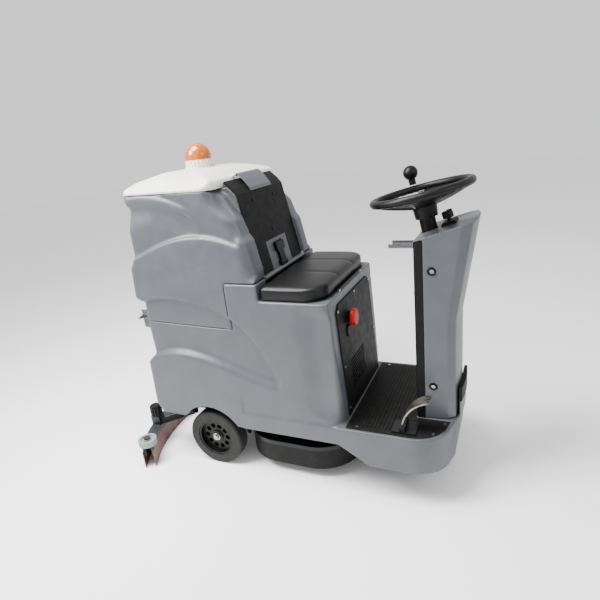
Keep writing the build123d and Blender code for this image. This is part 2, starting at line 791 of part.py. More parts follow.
def make_rear_hub():
    """Black hub: flange, dish, ring of recesses between ribs and a central boss."""
    inner_y = wheel_outer_y - rear_tyre_width
    height = rear_wheel_radius
    hub = rod((0, inner_y + 4, height), (0, wheel_outer_y - 3, height), rear_rim_radius)
    dish = rod((0, wheel_outer_y - 20, height), (0, wheel_outer_y, height), rear_rim_radius - 9)
    hub -= dish
    hub += rod((0, inner_y + 4, height), (0, wheel_outer_y - 14 - face_gap, height), 26)
    for index in range(10):
        angle = math.radians(index * 36)
        x = 50 * math.cos(angle)
        z = height + 50 * math.sin(angle)
        hub -= rod((x, wheel_outer_y - 34, z), (x, wheel_outer_y, z), 11)
    return hub - rod((0, 0, height), (0, body_half_width, height), axle_radius + running_fit)


# ---------------------------------------------------------------- seat
seat_rear_x = ledge_front_x + 1
seat_front_x_top = seat_front_top_x - 13
seat_hinge_x = seat_front_top_x - 8
seat_hinge_z = rim_z + seat_hinge_radius + face_gap


def make_seat_pan():
    """Steel pan under the cushion, with the hinge barrel along its front edge."""
    pan = rounded_block(seat_rear_x + 14, seat_front_x_top - 6, -seat_half_width + 16, seat_half_width - 16,
                        rim_z + face_gap, rim_z + 5, 60)
    strap = block(seat_front_x_top - 30, seat_hinge_x, -120, 120, rim_z + face_gap + 1, rim_z + 4)
    barrel = rod((seat_hinge_x, -120, seat_hinge_z), (seat_hinge_x, 120, seat_hinge_z), seat_hinge_radius)
    bore = rod((seat_hinge_x, -121, seat_hinge_z), (seat_hinge_x, 121, seat_hinge_z), 2 + running_fit)
    return pan + strap + barrel - bore


def make_seat_hinge_pin():
    """Hinge pin with an end bracket on each side, screwed to the rim."""
    pin = rod((seat_hinge_x, -130, seat_hinge_z), (seat_hinge_x, 130, seat_hinge_z), 2)
    # Low enough to pass under the cushion's front edge as it tilts
    bracket = block(seat_hinge_x - 3, seat_hinge_x + 5, 120 + face_gap, 134, rim_z, seat_hinge_z + 2.7)
    return pin + both_sides(bracket)


def make_seat_cushion():
    """Plain block for the padded seat: wide front corners, small rear ones, soft top edge."""
    length = seat_front_x_top - seat_rear_x
    plan = Rectangle(length, 2 * seat_half_width)
    front = plan.vertices().group_by(Axis.X)[-1]
    plan = fillet(front, seat_front_radius)
    rear = plan.vertices().group_by(Axis.X)[0]
    plan = fillet(rear, seat_rear_radius)
    low = rim_z + 5 + face_gap
    cushion = Pos((seat_rear_x + seat_front_x_top) / 2, 0, low) * extrude(plan, seat_cushion_height)
    top = cushion.faces().sort_by(Axis.Z)[-1]
    return fillet(top.edges(), 16)


# ---------------------------------------------------------------- recovery tank
def panel_front_x(z):
    """Front of the black backrest panel at a height, on the straight part."""
    return 290 - (z - 832) * (290 - 231) / (1136 - 832)


def tank_front_points(inset):
    """Front of the grey tank beside the backrest, from the ledge up."""
    return [(300 - inset, ledge_z + seam_gap), (300 - inset, 863), (278 - inset, 978), (262 - inset, 999),
            (245 - inset, 1055), (192 - inset, 1134), (150 - inset, tank_top_z)]


def panel_points(low_z, back):
    """Side line of the backrest, set back by a distance: straight, then bending over the top."""
    return [(panel_front_x(low_z) - back, low_z), (231 - back, 1136), (214 - back, 1158 - back * 0.4),
            (182 - back * 0.5, 1186 - back)]


def make_recovery_tank():
    front = tank_front_points(0)
    rear = [(-238, tank_top_z), (-223, 1110), (-239, 1035), (-257, 903), (-274, 878), (-284, 754), (-252, 739),
            (rear_top_x, seam_rear_z + seam_gap)]
    floor_front = [(ledge_rear_x - seam_gap, seam_front_z + seam_gap), (ledge_rear_x - seam_gap,
                   ledge_z + seam_gap)]
    tank = side_prism(front + rear + floor_front, -tank_half_width, tank_half_width)
    # The middle follows the backrest panel
    plate_back = panel_thickness + 0.1
    middle_half = panel_half_width + 1
    back_line = panel_points(ledge_z - 20, plate_back)
    middle = [(100, 1000)] + panel_points(1000, plate_back) + [(100, 1186 - plate_back)]
    tank += side_prism(middle, -middle_half, middle_half) - block(90, 300, -300, 300, tank_top_z, 1300)
    tank -= side_prism(back_line + [(back_line[-1][0], 1300), (400, 1300), (400, ledge_z - 20)],
                       -middle_half, middle_half)
    # Hollow inside, open at the top
    wall = tank_wall
    hollow = [(-215, tank_top_z + 60), (-214, 1040), (-232, 880), (-236, 745), (rear_top_x + wall, 735),
              (rear_top_x + wall, seam_z(rear_top_x) + seam_gap + wall),
              (ledge_rear_x - seam_gap - wall, seam_front_z + seam_gap + wall),
              (ledge_rear_x - seam_gap - wall, ledge_z + seam_gap + wall), (258, ledge_z + seam_gap + wall),
              (244, 960), (222, 1060), (140, 1140), (132, tank_top_z + 60)]
    tank -= side_prism(hollow, -tank_half_width + wall, tank_half_width - wall)
    # Lip at the foot of the backrest, which closes the gap behind the seat
    lip_half = bay_half_width - 3
    tank += block(ledge_front_x - 40, ledge_front_x - 1, -lip_half, lip_half, ledge_z - 12,
                  ledge_z + seam_gap + 1)
    # Upper hinge lugs, next to the lugs of the base
    lug_y = hinge_lug_y + hinge_lug_width + face_gap
    tank += both_sides(hinge_lug(lug_y, seam_rear_z + 7, seam_rear_z + 40))
    for y in (lid_ear_y, -lid_ear_y - lid_ear_width):
        ear = block(lid_hinge_x - 9, lid_rear_x + 12, y, y + lid_ear_width, tank_top_z - 26, tank_top_z - 8)
        ear += rod((lid_hinge_x, y, lid_hinge_z), (lid_hinge_x, y + lid_ear_width, lid_hinge_z), 9)
        bore = rod((lid_hinge_x, y - 1, lid_hinge_z), (lid_hinge_x, y + lid_ear_width + 1, lid_hinge_z),
                   4 + running_fit)
        tank = tank + ear - bore
    return tank


lid_hinge_x = lid_rear_x - 10
lid_hinge_z = tank_top_z - 10
lid_ear_y = 150
lid_ear_width = 14


def make_hinge_pins():
    """Pins of the recovery tank's hinge, one on each side."""
    pin = rod((tank_hinge_x, hinge_lug_y - 4, tank_hinge_z),
              (tank_hinge_x, hinge_lug_y + 2 * hinge_lug_width + face_gap + 4, tank_hinge_z), tank_hinge_radius)
    head = rod((tank_hinge_x, hinge_lug_y - 8, tank_hinge_z), (tank_hinge_x, hinge_lug_y - 0.5, tank_hinge_z), 9)
    return both_sides(pin + head)


def make_backrest_panel():
    front = panel_points(832, 0)
    back = panel_points(832, panel_thickness)
    panel = side_prism(front + list(reversed(back)), -panel_half_width, panel_half_width)
    return panel - block(200, 320, -notch_half - face_gap, notch_half + face_gap, 800, notch_top_z + face_gap)


notch_half = 87
notch_top_z = 942


lock_x = 291
lock_z = ledge_z + 14
lock_recess = 4
lock_head_z = 926


def make_notch_plate():
    """Grey insert at the foot of the backrest with a recess for the lock lever."""
    low = ledge_z + seam_gap + 3
    front = [(panel_front_x(low) - 1, low), (panel_front_x(notch_top_z) - 1, notch_top_z)]
    back = [(panel_front_x(notch_top_z) - panel_thickness, notch_top_z),
            (panel_front_x(low) - panel_thickness, low)]
    plate = side_prism(front + back, -notch_half, notch_half)
    recess_top = lock_head_z + 5
    recess = [(panel_front_x(low) - lock_recess, low - 1), (panel_front_x(recess_top) - lock_recess, recess_top),
              (330, recess_top), (330, low - 1)]
    plate -= side_prism(recess, -36, 36)
    return plate - block(200, 330, -29, 29, low - 1, lock_z + 11)


def lever_section(z_low, z_high, thickness, half_width):
    """A bar of the lock lever that lies along the backrest between two heights."""
    back = [(panel_front_x(z) - lock_recess + 0.8, z) for z in (z_low, z_high)]
    front = [(x + thickness, z) for x, z in reversed(back)]
    return side_prism(back + front, -half_width, half_width)


def make_tank_lock_lever():
    """Black T-shaped lever that locks the tank to the base: pivot, stem and head."""
    pivot = rod((lock_x, -22, lock_z), (lock_x, 22, lock_z), 7)
    stem = lever_section(lock_z, lock_head_z, 9, 16)
    head = lever_section(lock_head_z - 34, lock_head_z, 15, 32)
    bore = rod((lock_x, -40, lock_z), (lock_x, 40, lock_z), 3 + running_fit)
    return pivot + stem + head - bore


def make_lock_bracket():
    """Small steel clevis with the lock lever's pin, screwed to the tank's front."""
    pin = rod((lock_x, -27, lock_z), (lock_x, 27, lock_z), 3)
    low = ledge_z + seam_gap + 3.2
    high = lock_z + 6
    back = [(panel_front_x(z) - panel_thickness - 0.05, z) for z in (low, high)]
    ear = side_prism(back + [(lock_x + 6, high), (lock_x + 6, low)], 22 + face_gap, 27)
    return pin + both_sides(ear)


def make_backrest_screws():
    heads = []
    slope = Vector(304, 0, 59).normalized()
    for y, z in ((-85, 1104), (85, 1104), (0, 977), (-162, 860), (162, 860)):
        heads.append(screw_head((panel_front_x(z), y, z), slope, 6, 3))
    return heads


def lid_dome(inset):
    """Crowned slab: side outline crossed with front outline."""
    low = tank_top_z + face_gap
    side = [(lid_rear_x + inset, low), (lid_rear_x + inset + 2, low + lid_rim_height),
            (lid_rear_x + 50, lid_crown_z - 26 - inset), (lid_rear_x + 130, lid_crown_z - inset),
            (33, lid_crown_z - inset), (lid_front_x - 60, lid_crown_z - 14 - inset),
            (lid_front_x - 8 - inset, low + 32), (lid_front_x - inset, low + lid_rim_height),
            (lid_front_x - inset, low)]
    half = tank_half_width - inset
    across = [(-half, low), (-half, low + lid_rim_height), (-half + 42, lid_crown_z - 24 - inset),
              (-half + 130, lid_crown_z - inset), (half - 130, lid_crown_z - inset),
              (half - 42, lid_crown_z - 24 - inset), (half, low + lid_rim_height), (half, low)]
    front_face = make_face(Polyline(*[(lid_rear_x - 10, y, z) for y, z in across], close=True))
    front_view = extrude(front_face, lid_front_x - lid_rear_x + 20, dir=(1, 0, 0))
    slab = side_prism(side, -half, half) & front_view
    return slab & rounded_block(lid_rear_x - 1 + inset, lid_front_x - inset, -half, half, low, 1400,
                                lid_corner_radius - inset)


def make_tank_lid():
    """Ivory lid with a hollow underside, hinge arms and stub pins at the rear."""
    lid = lid_dome(0) - Pos(0, 0, -0.01) * lid_dome(lid_wall)
    for side in (-1, 1):
        inner_y = side * (lid_ear_y + lid_ear_width + face_gap)
        outer_y = side * (lid_ear_y + lid_ear_width + 14)
        low_y = min(inner_y, outer_y)
        high_y = max(inner_y, outer_y)
        arm = rod((lid_hinge_x, low_y, lid_hinge_z), (lid_hinge_x, high_y, lid_hinge_z), 8)
        arm += block(lid_hinge_x - 8, lid_hinge_x + 8, low_y, high_y, lid_hinge_z, tank_top_z + 12)
        arm += block(lid_hinge_x - 8, lid_rear_x + 6, low_y, high_y, tank_top_z + face_gap, tank_top_z + 14)
        stub = rod((lid_hinge_x, side * (lid_ear_y + 1), lid_hinge_z), (lid_hinge_x, outer_y, lid_hinge_z), 4)
        lid += arm + stub
    clip_knuckle = rod((clip_x, -clip_half - 8, clip_z), (clip_x, clip_half + 8, clip_z), 3)
    for y_low in (-clip_half - 8, clip_half + face_gap):
        clip_knuckle += block(lid_front_x - 14, clip_x + 3, y_low, y_low + 8 - face_gap, clip_z - 5, clip_z + 5)
    return lid + clip_knuckle


clip_x = lid_front_x + 8
clip_z = tank_top_z + 34
clip_half = 83


def make_latch_clip():
    """Grey latch plate hinged on the lid's front edge, lying on the bend of the backrest."""
    outer = [(clip_x - 3, clip_z + 6), (clip_x + 10, clip_z + 3), (clip_x + 32, clip_z - 22),
             (clip_x + 52, clip_z - 48), (clip_x + 56, clip_z - 60)]
    inner = [(clip_x + 51, clip_z - 60), (clip_x + 47, clip_z - 49), (clip_x + 28, clip_z - 24),
             (clip_x + 7, clip_z - 1), (clip_x - 3, clip_z + 1)]
    plate = side_prism(outer + inner, -clip_half, clip_half)
    eye = rod((clip_x, -clip_half, clip_z), (clip_x, clip_half, clip_z), 6)
    bore = rod((clip_x, -clip_half - 1, clip_z), (clip_x, clip_half + 1, clip_z), 3 + running_fit)
    return plate + eye - bore


# ---------------------------------------------------------------- beacon
beacon_base_z = lid_crown_z + 0.1
beacon_dome_z = beacon_base_z + 32


def make_beacon_base():
    """Ribbed clear foot with a flared flange, a floor and the reflector's spindle."""
    foot = rod((beacon_x, 0, beacon_base_z), (beacon_x, 0, beacon_base_z + 5), 60)
    wall = rod((beacon_x, 0, beacon_base_z), (beacon_x, 0, beacon_dome_z), 53)
    wall -= rod((beacon_x, 0, beacon_base_z + 6), (beacon_x, 0, beacon_dome_z + 1), 47)
    for index in range(24):
        angle = math.radians(index * 15)
        x = beacon_x + 53 * math.cos(angle)
        y = 53 * math.sin(angle)
        wall += rod((x, y, beacon_base_z + 4), (x, y, beacon_dome_z - 3), 2)
    spindle = rod((beacon_x, 0, beacon_base_z + 5), (beacon_x, 0, beacon_dome_z + 26), 4)
    return foot + wall + spindle


def make_beacon_dome():
    """Amber dome: a short straight skirt and a round top."""
    def bullet(radius, top):
        skirt = rod((beacon_x, 0, beacon_dome_z + 0.1), (beacon_x, 0, top - radius), radius)
        return skirt + Pos(beacon_x, 0, top - radius) * Sphere(radius)
    outer = bullet(beacon_dome_radius, beacon_top_z)
    inner = bullet(beacon_dome_radius - 4, beacon_top_z - 4)
    floor_cut = block(-200, 200, -100, 100, 1100, beacon_dome_z + 0.1)
    return outer - inner - floor_cut


def make_beacon_reflector():
    """Curved mirror that turns on the spindle."""
    ring = tube((beacon_x, 0, beacon_base_z + 10), (beacon_x, 0, beacon_base_z + 20), 14, 4 + running_fit)
    mirror_shell = tube((beacon_x, 0, beacon_base_z + 12), (beacon_x, 0, beacon_dome_z + 24), 26, 23)
    mirror_shell &= block(beacon_x - 30, beacon_x - 8, -40, 40, beacon_base_z, beacon_dome_z + 40)
    web = block(beacon_x - 25, beacon_x - 10, -4, 4, beacon_base_z + 12, beacon_base_z + 18)
    return ring + mirror_shell + web


# ---------------------------------------------------------------- pedal, dash knob, bumper
pedal_x = 806
pedal_y = -215
pedal_z = deck_z + 22
pedal_half = 30


def make_pedal_base():
    """Steel foot plate on the mat with two ears and the pedal's pin."""
    foot = block(pedal_x - 38, pedal_x + 48, pedal_y - pedal_half - 8, pedal_y + pedal_half + 8,
                 deck_z + 1, deck_z + 5)
    ears = foot
    for y_low in (pedal_y - pedal_half - 6, pedal_y + pedal_half + 1):
        ears += block(pedal_x - 10, pedal_x + 10, y_low, y_low + 5, deck_z + 4, pedal_z + 8)
    pin = rod((pedal_x, pedal_y - pedal_half - 8, pedal_z), (pedal_x, pedal_y + pedal_half + 8, pedal_z), 5)
    return ears + pin


def make_accelerator_pedal():
    """Curved bare-metal pedal plate that rises forwards from its pin."""
    low = (pedal_x, pedal_y, pedal_z + 6)
    middle = (pedal_x + 22, pedal_y, pedal_z + 60)
    high = (pedal_x + 96, pedal_y, pedal_z + 108)
    spine = ThreePointArc(low, middle, high)
    section = Plane(origin=low, z_dir=spine % 0, x_dir=(0, 1, 0)) * Rectangle(2 * pedal_half, 5)
    plate = sweep(section, path=spine)
    eye = rod((pedal_x, pedal_y - pedal_half, pedal_z), (pedal_x, pedal_y + pedal_half, pedal_z), 10)
    bore = rod((pedal_x, pedal_y - 60, pedal_z), (pedal_x, pedal_y + 60, pedal_z), 5 + running_fit)
    return plate + eye - bore


knob_x = 938


def make_dash_pod():
    """Black switch block on the dash."""
    x_low = knob_x - 24
    x_high = knob_x + 26
    return side_prism([(x_low, dash_z(x_low) + 0.1), (x_high, dash_z(x_high) + 0.1),
                       (x_high - 4, dash_z(x_high) + 9), (x_low + 4, dash_z(x_low) + 12)], -34, 34)


def knob_point(up):
    lean = math.radians(math.degrees(math.atan(dash_slope)))
    return (knob_x - up * math.sin(lean), 0, dash_z(knob_x) + 10.5 + up * math.cos(lean))


def make_speed_knob():
    """Round black speed knob with a raised pointer, on its stem."""
    stem = rod(knob_point(0.4), knob_point(12), 7)
    grip = rod(knob_point(10), knob_point(34), 19)
    top_edge = grip.edges().filter_by(GeomType.CIRCLE).sort_by(Axis.Z)[-1]
    grip = fillet(top_edge, 6)
    up = Vector(*knob_point(1)) - Vector(*knob_point(0))
    pointer = Plane(origin=knob_point(33), z_dir=up) * Pos(9, 0, 1.5) * Box(17, 4, 5)
    return stem + grip + pointer


def make_front_bumper():
    """Black rubber strip across the front of the column foot, on top of the apron."""
    strip = block(column_nose_x + face_gap, body_front_x + 9, -92, 92, deck_z + 63.1, deck_z + 118)
    curve = Pos(body_front_x + 9 - 660, 0, 0) * Cylinder(660, 1200)
    return strip & curve


# ---------------------------------------------------------------- scrub deck
def deck_plan(inset):
    return Pos(deck_centre_x, 0, 0) * RectangleRounded(2 * (deck_half_length - inset),
                                                       2 * (deck_half_width - inset),
                                                       deck_corner_radius - inset)


def make_brush_deck():
    """Deck plate with a stiff lip, two guide lugs at the rear and a filler cap."""
    plate = plan_prism(deck_plan(0), deck_plate_low_z, deck_plate_top_z)
    plate += rod((deck_centre_x + 100, -195, deck_plate_top_z - 1), (deck_centre_x + 100, -195,
                 deck_plate_top_z + 8), 15)
    lug = block(guide_x - 17, deck_centre_x - deck_half_length + 60, guide_y - 17, guide_y + 17,
                deck_plate_low_z, deck_plate_top_z)
    plate += both_sides(lug)
    hole = rod((guide_x, guide_y, 0), (guide_x, guide_y, 300), guide_radius + running_fit)
    plate -= both_sides(hole)
    return plate - rod((deck_centre_x, 0, 0), (deck_centre_x, 0, 300), 16)


def make_deck_skirt():
    """Black rubber skirt that hangs from the deck plate."""
    outer = plan_prism(deck_plan(3), skirt_low_z, deck_plate_low_z - 0.1)
    return outer - plan_prism(deck_plan(3 + skirt_thickness), skirt_low_z - 1, deck_plate_low_z + 1)


def make_brush_motor():
    motor = rod((deck_centre_x, 0, deck_plate_top_z + 0.1), (deck_centre_x, 0, deck_plate_top_z + 92), 78)
    gearbox = rod((deck_centre_x, 0, deck_plate_top_z + 0.1), (deck_centre_x, 0, deck_plate_top_z + 26), 95)
    bore = rod((deck_centre_x, 0, 0), (deck_centre_x, 0, deck_plate_top_z + 20), 12 + running_fit)
    return motor + gearbox - bore


def make_scrub_brush():
    """Brush block with its drive boss, and the ring of bristles under it."""
    centre = deck_centre_x
    holder = rod((centre, 0, 98), (centre, 0, 122), brush_radius - 8)
    boss = rod((centre, 0, 121), (centre, 0, deck_plate_low_z - 1), 40)
    shaft = rod((centre, 0, 120), (centre, 0, deck_plate_top_z + 16), 12)
    height = 97.9 - bristle_tip_z
    flare = Cone(brush_radius, brush_radius - 12, height, align=(Align.CENTER, Align.CENTER, Align.MIN))
    bristles = Pos(centre, 0, bristle_tip_z) * flare - rod((centre, 0, 0), (centre, 0, 110), 90)
    return [holder + boss + shaft, bristles]


# ---------------------------------------------------------------- squeegee
squeegee_centre_x = squeegee_rear_x + squeegee_radius


def ring_sector(inner, outer, half_angle, z_low, z_high):
    """Part of a ring about the squeegee's centre of curvature, symmetric about the middle plane."""
    reach = 2 * outer
    spread = reach * math.tan(math.radians(half_angle))
    wedge = make_face(Polyline((0, 0), (-reach, -spread), (-reach, spread), close=True))
    ring = (Circle(outer) - Circle(inner)) & wedge
    return Pos(squeegee_centre_x, 0, z_low) * extrude(ring, z_high - z_low)


def roller_place():
    angle = math.radians(squeegee_half_angle - 1.6)
    return (squeegee_centre_x - squeegee_radius * math.cos(angle), squeegee_radius * math.sin(angle))


def make_squeegee_bar():
    """Curved bar with two ribs for the blades, a suction port and a stud for each end roller."""
    radius = squeegee_radius
    bar = ring_sector(radius - 26, radius + 26, squeegee_half_angle, squeegee_bar_low_z, squeegee_bar_top_z)
    for inner, outer in ((radius - 20, radius - 11), (radius + 11, radius + 20)):
        bar += ring_sector(inner, outer, squeegee_half_angle, 50, squeegee_bar_low_z + 1)
    x, y = roller_place()
    stud = rod((x, y, squeegee_bar_top_z - 2), (x, y, squeegee_bar_top_z + 30), 6)
    head = rod((x, y, squeegee_bar_top_z + 25 + 2 * face_gap), (x, y, squeegee_bar_top_z + 32), 14)
    bar += both_sides(stud + head)
    port = rod((squeegee_rear_x, 0, squeegee_bar_top_z - 1), (squeegee_rear_x, 0, squeegee_bar_top_z + 22), 20)
    bar += port
    return bar - rod((squeegee_rear_x, 0, 40), (squeegee_rear_x, 0, squeegee_bar_top_z + 30), 10)


def make_squeegee_blades():
    """Rubber blades clamped to the front and the rear of the bar's ribs."""
    radius = squeegee_radius
    front = ring_sector(radius - 20 - blade_thickness, radius - 20, blade_half_angle, 0.4, 80)
    rear = ring_sector(radius + 20, radius + 20 + blade_thickness, blade_half_angle, 0.4, 80)
    return [front, rear]


def make_end_roller():
    x, y = roller_place()
    low = squeegee_bar_top_z + face_gap
    roller = rod((x, y, low), (x, y, low + 25), end_roller_radius)
    roller -= rod((x, y, low + 19), (x, y, low + 26), 27)
    roller += rod((x, y, low), (x, y, low + 25), 16)
    roller = roller - rod((x, y, 0), (x, y, 300), 6 + running_fit)
    return roller


def make_squeegee_arm():
    """Yoke: two side arms from the frame's hinge to pads on the bar, joined by a cross tube."""
    pad_x = squeegee_centre_x - math.sqrt(squeegee_radius ** 2 - squeegee_arm_y ** 2)
    top = squeegee_bar_top_z + 0.1
    arm = side_prism([(squeegee_hinge_x, squeegee_hinge_z - 13), (squeegee_hinge_x, squeegee_hinge_z + 13),
                      (squeegee_hinge_x - 60, squeegee_hinge_z - 8), (pad_x + 22, top + 28),
                      (pad_x + 22, top), (pad_x + 60, top + 14)], squeegee_arm_y, squeegee_arm_y + 9)
    eye = rod((squeegee_hinge_x, squeegee_arm_y, squeegee_hinge_z),
              (squeegee_hinge_x, squeegee_arm_y + 9, squeegee_hinge_z), 13)
    pad = block(pad_x - 24, pad_x + 24, squeegee_arm_y - 18, squeegee_arm_y + 18, top, top + 42)
    bolt = rod((squeegee_hinge_x - 66, squeegee_arm_y - 6, 165), (squeegee_hinge_x - 66, squeegee_arm_y + 16, 165), 9)
    side = arm + eye + pad + bolt
    side -= rod((squeegee_hinge_x, 0, squeegee_hinge_z), (squeegee_hinge_x, 300, squeegee_hinge_z),
                7 + running_fit)
    tie = rod((squeegee_hinge_x - 66, -squeegee_arm_y, 165), (squeegee_hinge_x - 66, squeegee_arm_y, 165), 7)
    return side + other_side(side) + tie


def make_squeegee_knobs():
    """Two ribbed hand knobs that clamp the bar to the yoke."""
    pad_x = squeegee_centre_x - math.sqrt(squeegee_radius ** 2 - squeegee_arm_y ** 2)
    low = squeegee_bar_top_z + 42.2
    knob = rod((pad_x, squeegee_arm_y, low), (pad_x, squeegee_arm_y, low + 52), 24)
    for index in range(12):
        angle = math.radians(index * 30)
        x = pad_x + 24 * math.cos(angle)
        y = squeegee_arm_y + 24 * math.sin(angle)
        knob += rod((x, y, low + 4), (x, y, low + 48), 4)
    return both_sides(knob)


hose_radius = 19


def make_squeegee_hose():
    """Suction hose from the port over the yoke's tie and up into the body's well."""
    low = squeegee_bar_top_z + 22.1
    mouth_x = (hose_bay_rear_x + hose_bay_front_x) / 2
    run_z = low + 78
    path = FilletPolyline((squeegee_rear_x, 0, low), (squeegee_rear_x, 0, run_z - 10),
                          (mouth_x, 0, run_z), (mouth_x, 0, run_z + 78), radius=34)
    section = Plane(origin=(squeegee_rear_x, 0, low), z_dir=(0, 0, 1)) * Circle(hose_radius)
    return sweep(section, path=path)


# ---------------------------------------------------------------- build everything
keep("main_body", make_main_body())
keep("chassis_frame", make_chassis_frame())
keep("fork_bearing", make_fork_bearing())
keep("rear_axle", make_rear_axle(), *make_axle_ends())
keep("batteries", *make_batteries())
keep("vacuum_motor", make_vacuum_motor())
keep("motor_controller", make_motor_controller())
keep("deck_mat", make_deck_mat())
keep("seat_base_panel", make_seat_base_panel())
keep("body_fixings", *make_chassis_screws(), make_seat_hinge_pin(), make_hinge_pins())
keep("e_stop_collar", make_e_stop_collar())
keep("e_stop_button", make_e_stop_button())
keep("charge_socket", make_charge_socket())
keep("column_shell", make_column_shell())
keep("column_rear_cover", make_column_rear_cover())
keep("column_bolts", *make_column_bolts(), make_lever_pin())
keep("dash_pod", make_dash_pod())
keep("speed_knob", make_speed_knob())
keep("front_bumper", make_front_bumper())
keep("deck_lever", make_lever(-lever_y))
keep("squeegee_lever", make_lever(lever_y))
keep("lift_cable", *make_lift_cable())
keep("shaft_housing", make_shaft_housing())
keep("steering_shaft", make_steering_shaft())
keep("steering_wheel", make_steering_wheel(), make_steering_boss())
keep("spinner_knob", make_spinner_knob())
keep("steering_pinion", make_steering_pinion())
keep("drive_fork", make_drive_fork())
keep("drive_tyre", make_drive_tyre())
keep("drive_hub", make_drive_hub())
keep("rear_tyre_left", make_rear_tyre())
keep("rear_tyre_right", other_side(make_rear_tyre()))
keep("rear_hub_left", make_rear_hub())
keep("rear_hub_right", other_side(make_rear_hub()))
keep("seat_cushion", make_seat_cushion())
keep("seat_pan", make_seat_pan())
keep("recovery_tank", make_recovery_tank())
keep("backrest_panel", make_backrest_panel())
keep("backrest_fixings", *make_backrest_screws(), make_lock_bracket())
keep("notch_plate", make_notch_plate())
keep("tank_lock_lever", make_tank_lock_lever())
keep("tank_lid", make_tank_lid())
keep("latch_clip", make_latch_clip())
keep("beacon_base", make_beacon_base())
keep("beacon_dome", make_beacon_dome())
keep("beacon_reflector", make_beacon_reflector())
keep("pedal_base", make_pedal_base())
keep("accelerator_pedal", make_accelerator_pedal())
keep("brush_deck", make_brush_deck())
keep("deck_skirt", make_deck_skirt())
keep("brush_motor", make_brush_motor())
keep("scrub_brush", *make_scrub_brush())
keep("squeegee_bar", make_squeegee_bar())
keep("squeegee_blades", *make_squeegee_blades())
keep("end_roller_left", make_end_roller())
keep("end_roller_right", other_side(make_end_roller()))
keep("squeegee_arm", make_squeegee_arm())
keep("squeegee_knobs", make_squeegee_knobs())
keep("squeegee_hose", make_squeegee_hose())

boxes = [solid.bounding_box() for solids in nodes.values() for solid in solids]
rear_x = min(box.min.X for box in boxes)
front_x = max(box.max.X for box in boxes)
shift = Location((-(rear_x + front_x) / 2, 0, 0))
for name, solids in nodes.items():
    moved = [solid.moved(shift) for solid in solids]
    shape = moved[0] if len(moved) == 1 else Compound(children=moved)
    export_step(shape, f"parts/{name}.step")
print("nodes", len(nodes), "rear", round(rear_x, 3), "front", round(front_x, 3))
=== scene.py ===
# %% [markdown]
# # Ride-on floor scrubber
#
# The machine's steel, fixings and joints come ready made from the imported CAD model, in metres, with
# +X as the driving direction and +Z up. This lesson adds what a drawing office leaves out: the soft
# edges and sculpted ledges of the mouldings, a padded seat, a ribbed hose, and a finish on every piece.

# %% Load the frame
import math

import bmesh
import bpy
import numpy as np
from mathutils import Matrix, Vector


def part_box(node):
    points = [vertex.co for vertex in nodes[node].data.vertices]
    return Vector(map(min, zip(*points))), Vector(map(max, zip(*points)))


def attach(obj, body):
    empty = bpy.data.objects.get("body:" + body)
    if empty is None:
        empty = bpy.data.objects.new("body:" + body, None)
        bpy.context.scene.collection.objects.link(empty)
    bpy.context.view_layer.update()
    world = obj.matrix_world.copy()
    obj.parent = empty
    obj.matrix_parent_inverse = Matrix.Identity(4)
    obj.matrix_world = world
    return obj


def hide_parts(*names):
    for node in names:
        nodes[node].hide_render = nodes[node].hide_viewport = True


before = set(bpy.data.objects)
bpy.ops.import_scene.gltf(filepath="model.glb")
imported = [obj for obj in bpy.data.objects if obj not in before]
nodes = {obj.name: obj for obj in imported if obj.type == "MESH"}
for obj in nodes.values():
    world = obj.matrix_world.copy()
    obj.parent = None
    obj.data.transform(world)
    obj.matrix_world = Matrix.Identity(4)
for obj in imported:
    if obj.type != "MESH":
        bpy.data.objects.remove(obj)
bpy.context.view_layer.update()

# %% [markdown]
# ## Camera
#
# A product view from a little above, with the machine's right side and front in sight. The camera is
# placed by three axes, because a matrix built from axes is easier to check than three angles.

# %% Camera
camera = bpy.data.objects.new("camera", bpy.data.cameras.new("camera"))
bpy.context.scene.collection.objects.link(camera)
view = Vector((-0.409, 0.851, -0.330)).normalized()
right = Vector((0.912, 0.398, -0.104))
right = (right - view * right.dot(view)).normalized()
up = right.cross(view)
axes = Matrix((right, up, -view)).transposed()
camera.matrix_world = Matrix.Translation((0.849, -1.689, 1.318)) @ axes.to_4x4()
camera.data.sensor_width = 36
camera.data.lens = 28.84
camera.data.shift_y = 0.005
bpy.context.scene.camera = camera
print("camera at", tuple(round(c, 3) for c in camera.location))

# %% [markdown]
# ## Studio
#
# The mouldings are satin, so large soft lights matter more than strong ones: a wide panel overhead
# and to the rear gives the bright lid, a smaller one beside the tank brightens its shoulder, and a
# weak one ahead of the machine draws the column's edge. A bright even world fills the shadows. The
# floor is pale and plain.


# %% Lights and floor
def area_light(name, place, target, size, power):
    """A square soft light that looks at a target."""
    lamp = bpy.data.lights.new(name, "AREA")
    lamp.size = size
    lamp.energy = power
    holder = bpy.data.objects.new(name, lamp)
    bpy.context.scene.collection.objects.link(holder)
    holder.location = place
    direction = Vector(target) - Vector(place)
    holder.rotation_euler = direction.to_track_quat("-Z", "Y").to_euler()
    return holder


area_light("overhead", (-0.6, -0.7, 3.0), (-0.1, 0, 0.6), 1.2, 175)
area_light("tank_shoulder", (-1.1, -1.0, 1.95), (-0.45, -0.2, 1.05), 0.7, 75)
area_light("front_rim", (2.8, -0.9, 2.1), (0.4, 0, 0.6), 1.2, 24)


def linear(hex_colour):
    """An sRGB hex colour as linear red, green, blue and alpha."""
    parts = [int(hex_colour[i:i + 2], 16) / 255 for i in (0, 2, 4)]
    return [c / 12.92 if c <= 0.04045 else ((c + 0.055) / 1.055) ** 2.4 for c in parts] + [1]


world = bpy.data.worlds.new("studio")
bpy.context.scene.world = world
world.use_nodes = True
world.node_tree.nodes["Background"].inputs["Color"].default_value = (1, 1, 1, 1)
world.node_tree.nodes["Background"].inputs["Strength"].default_value = 1.1

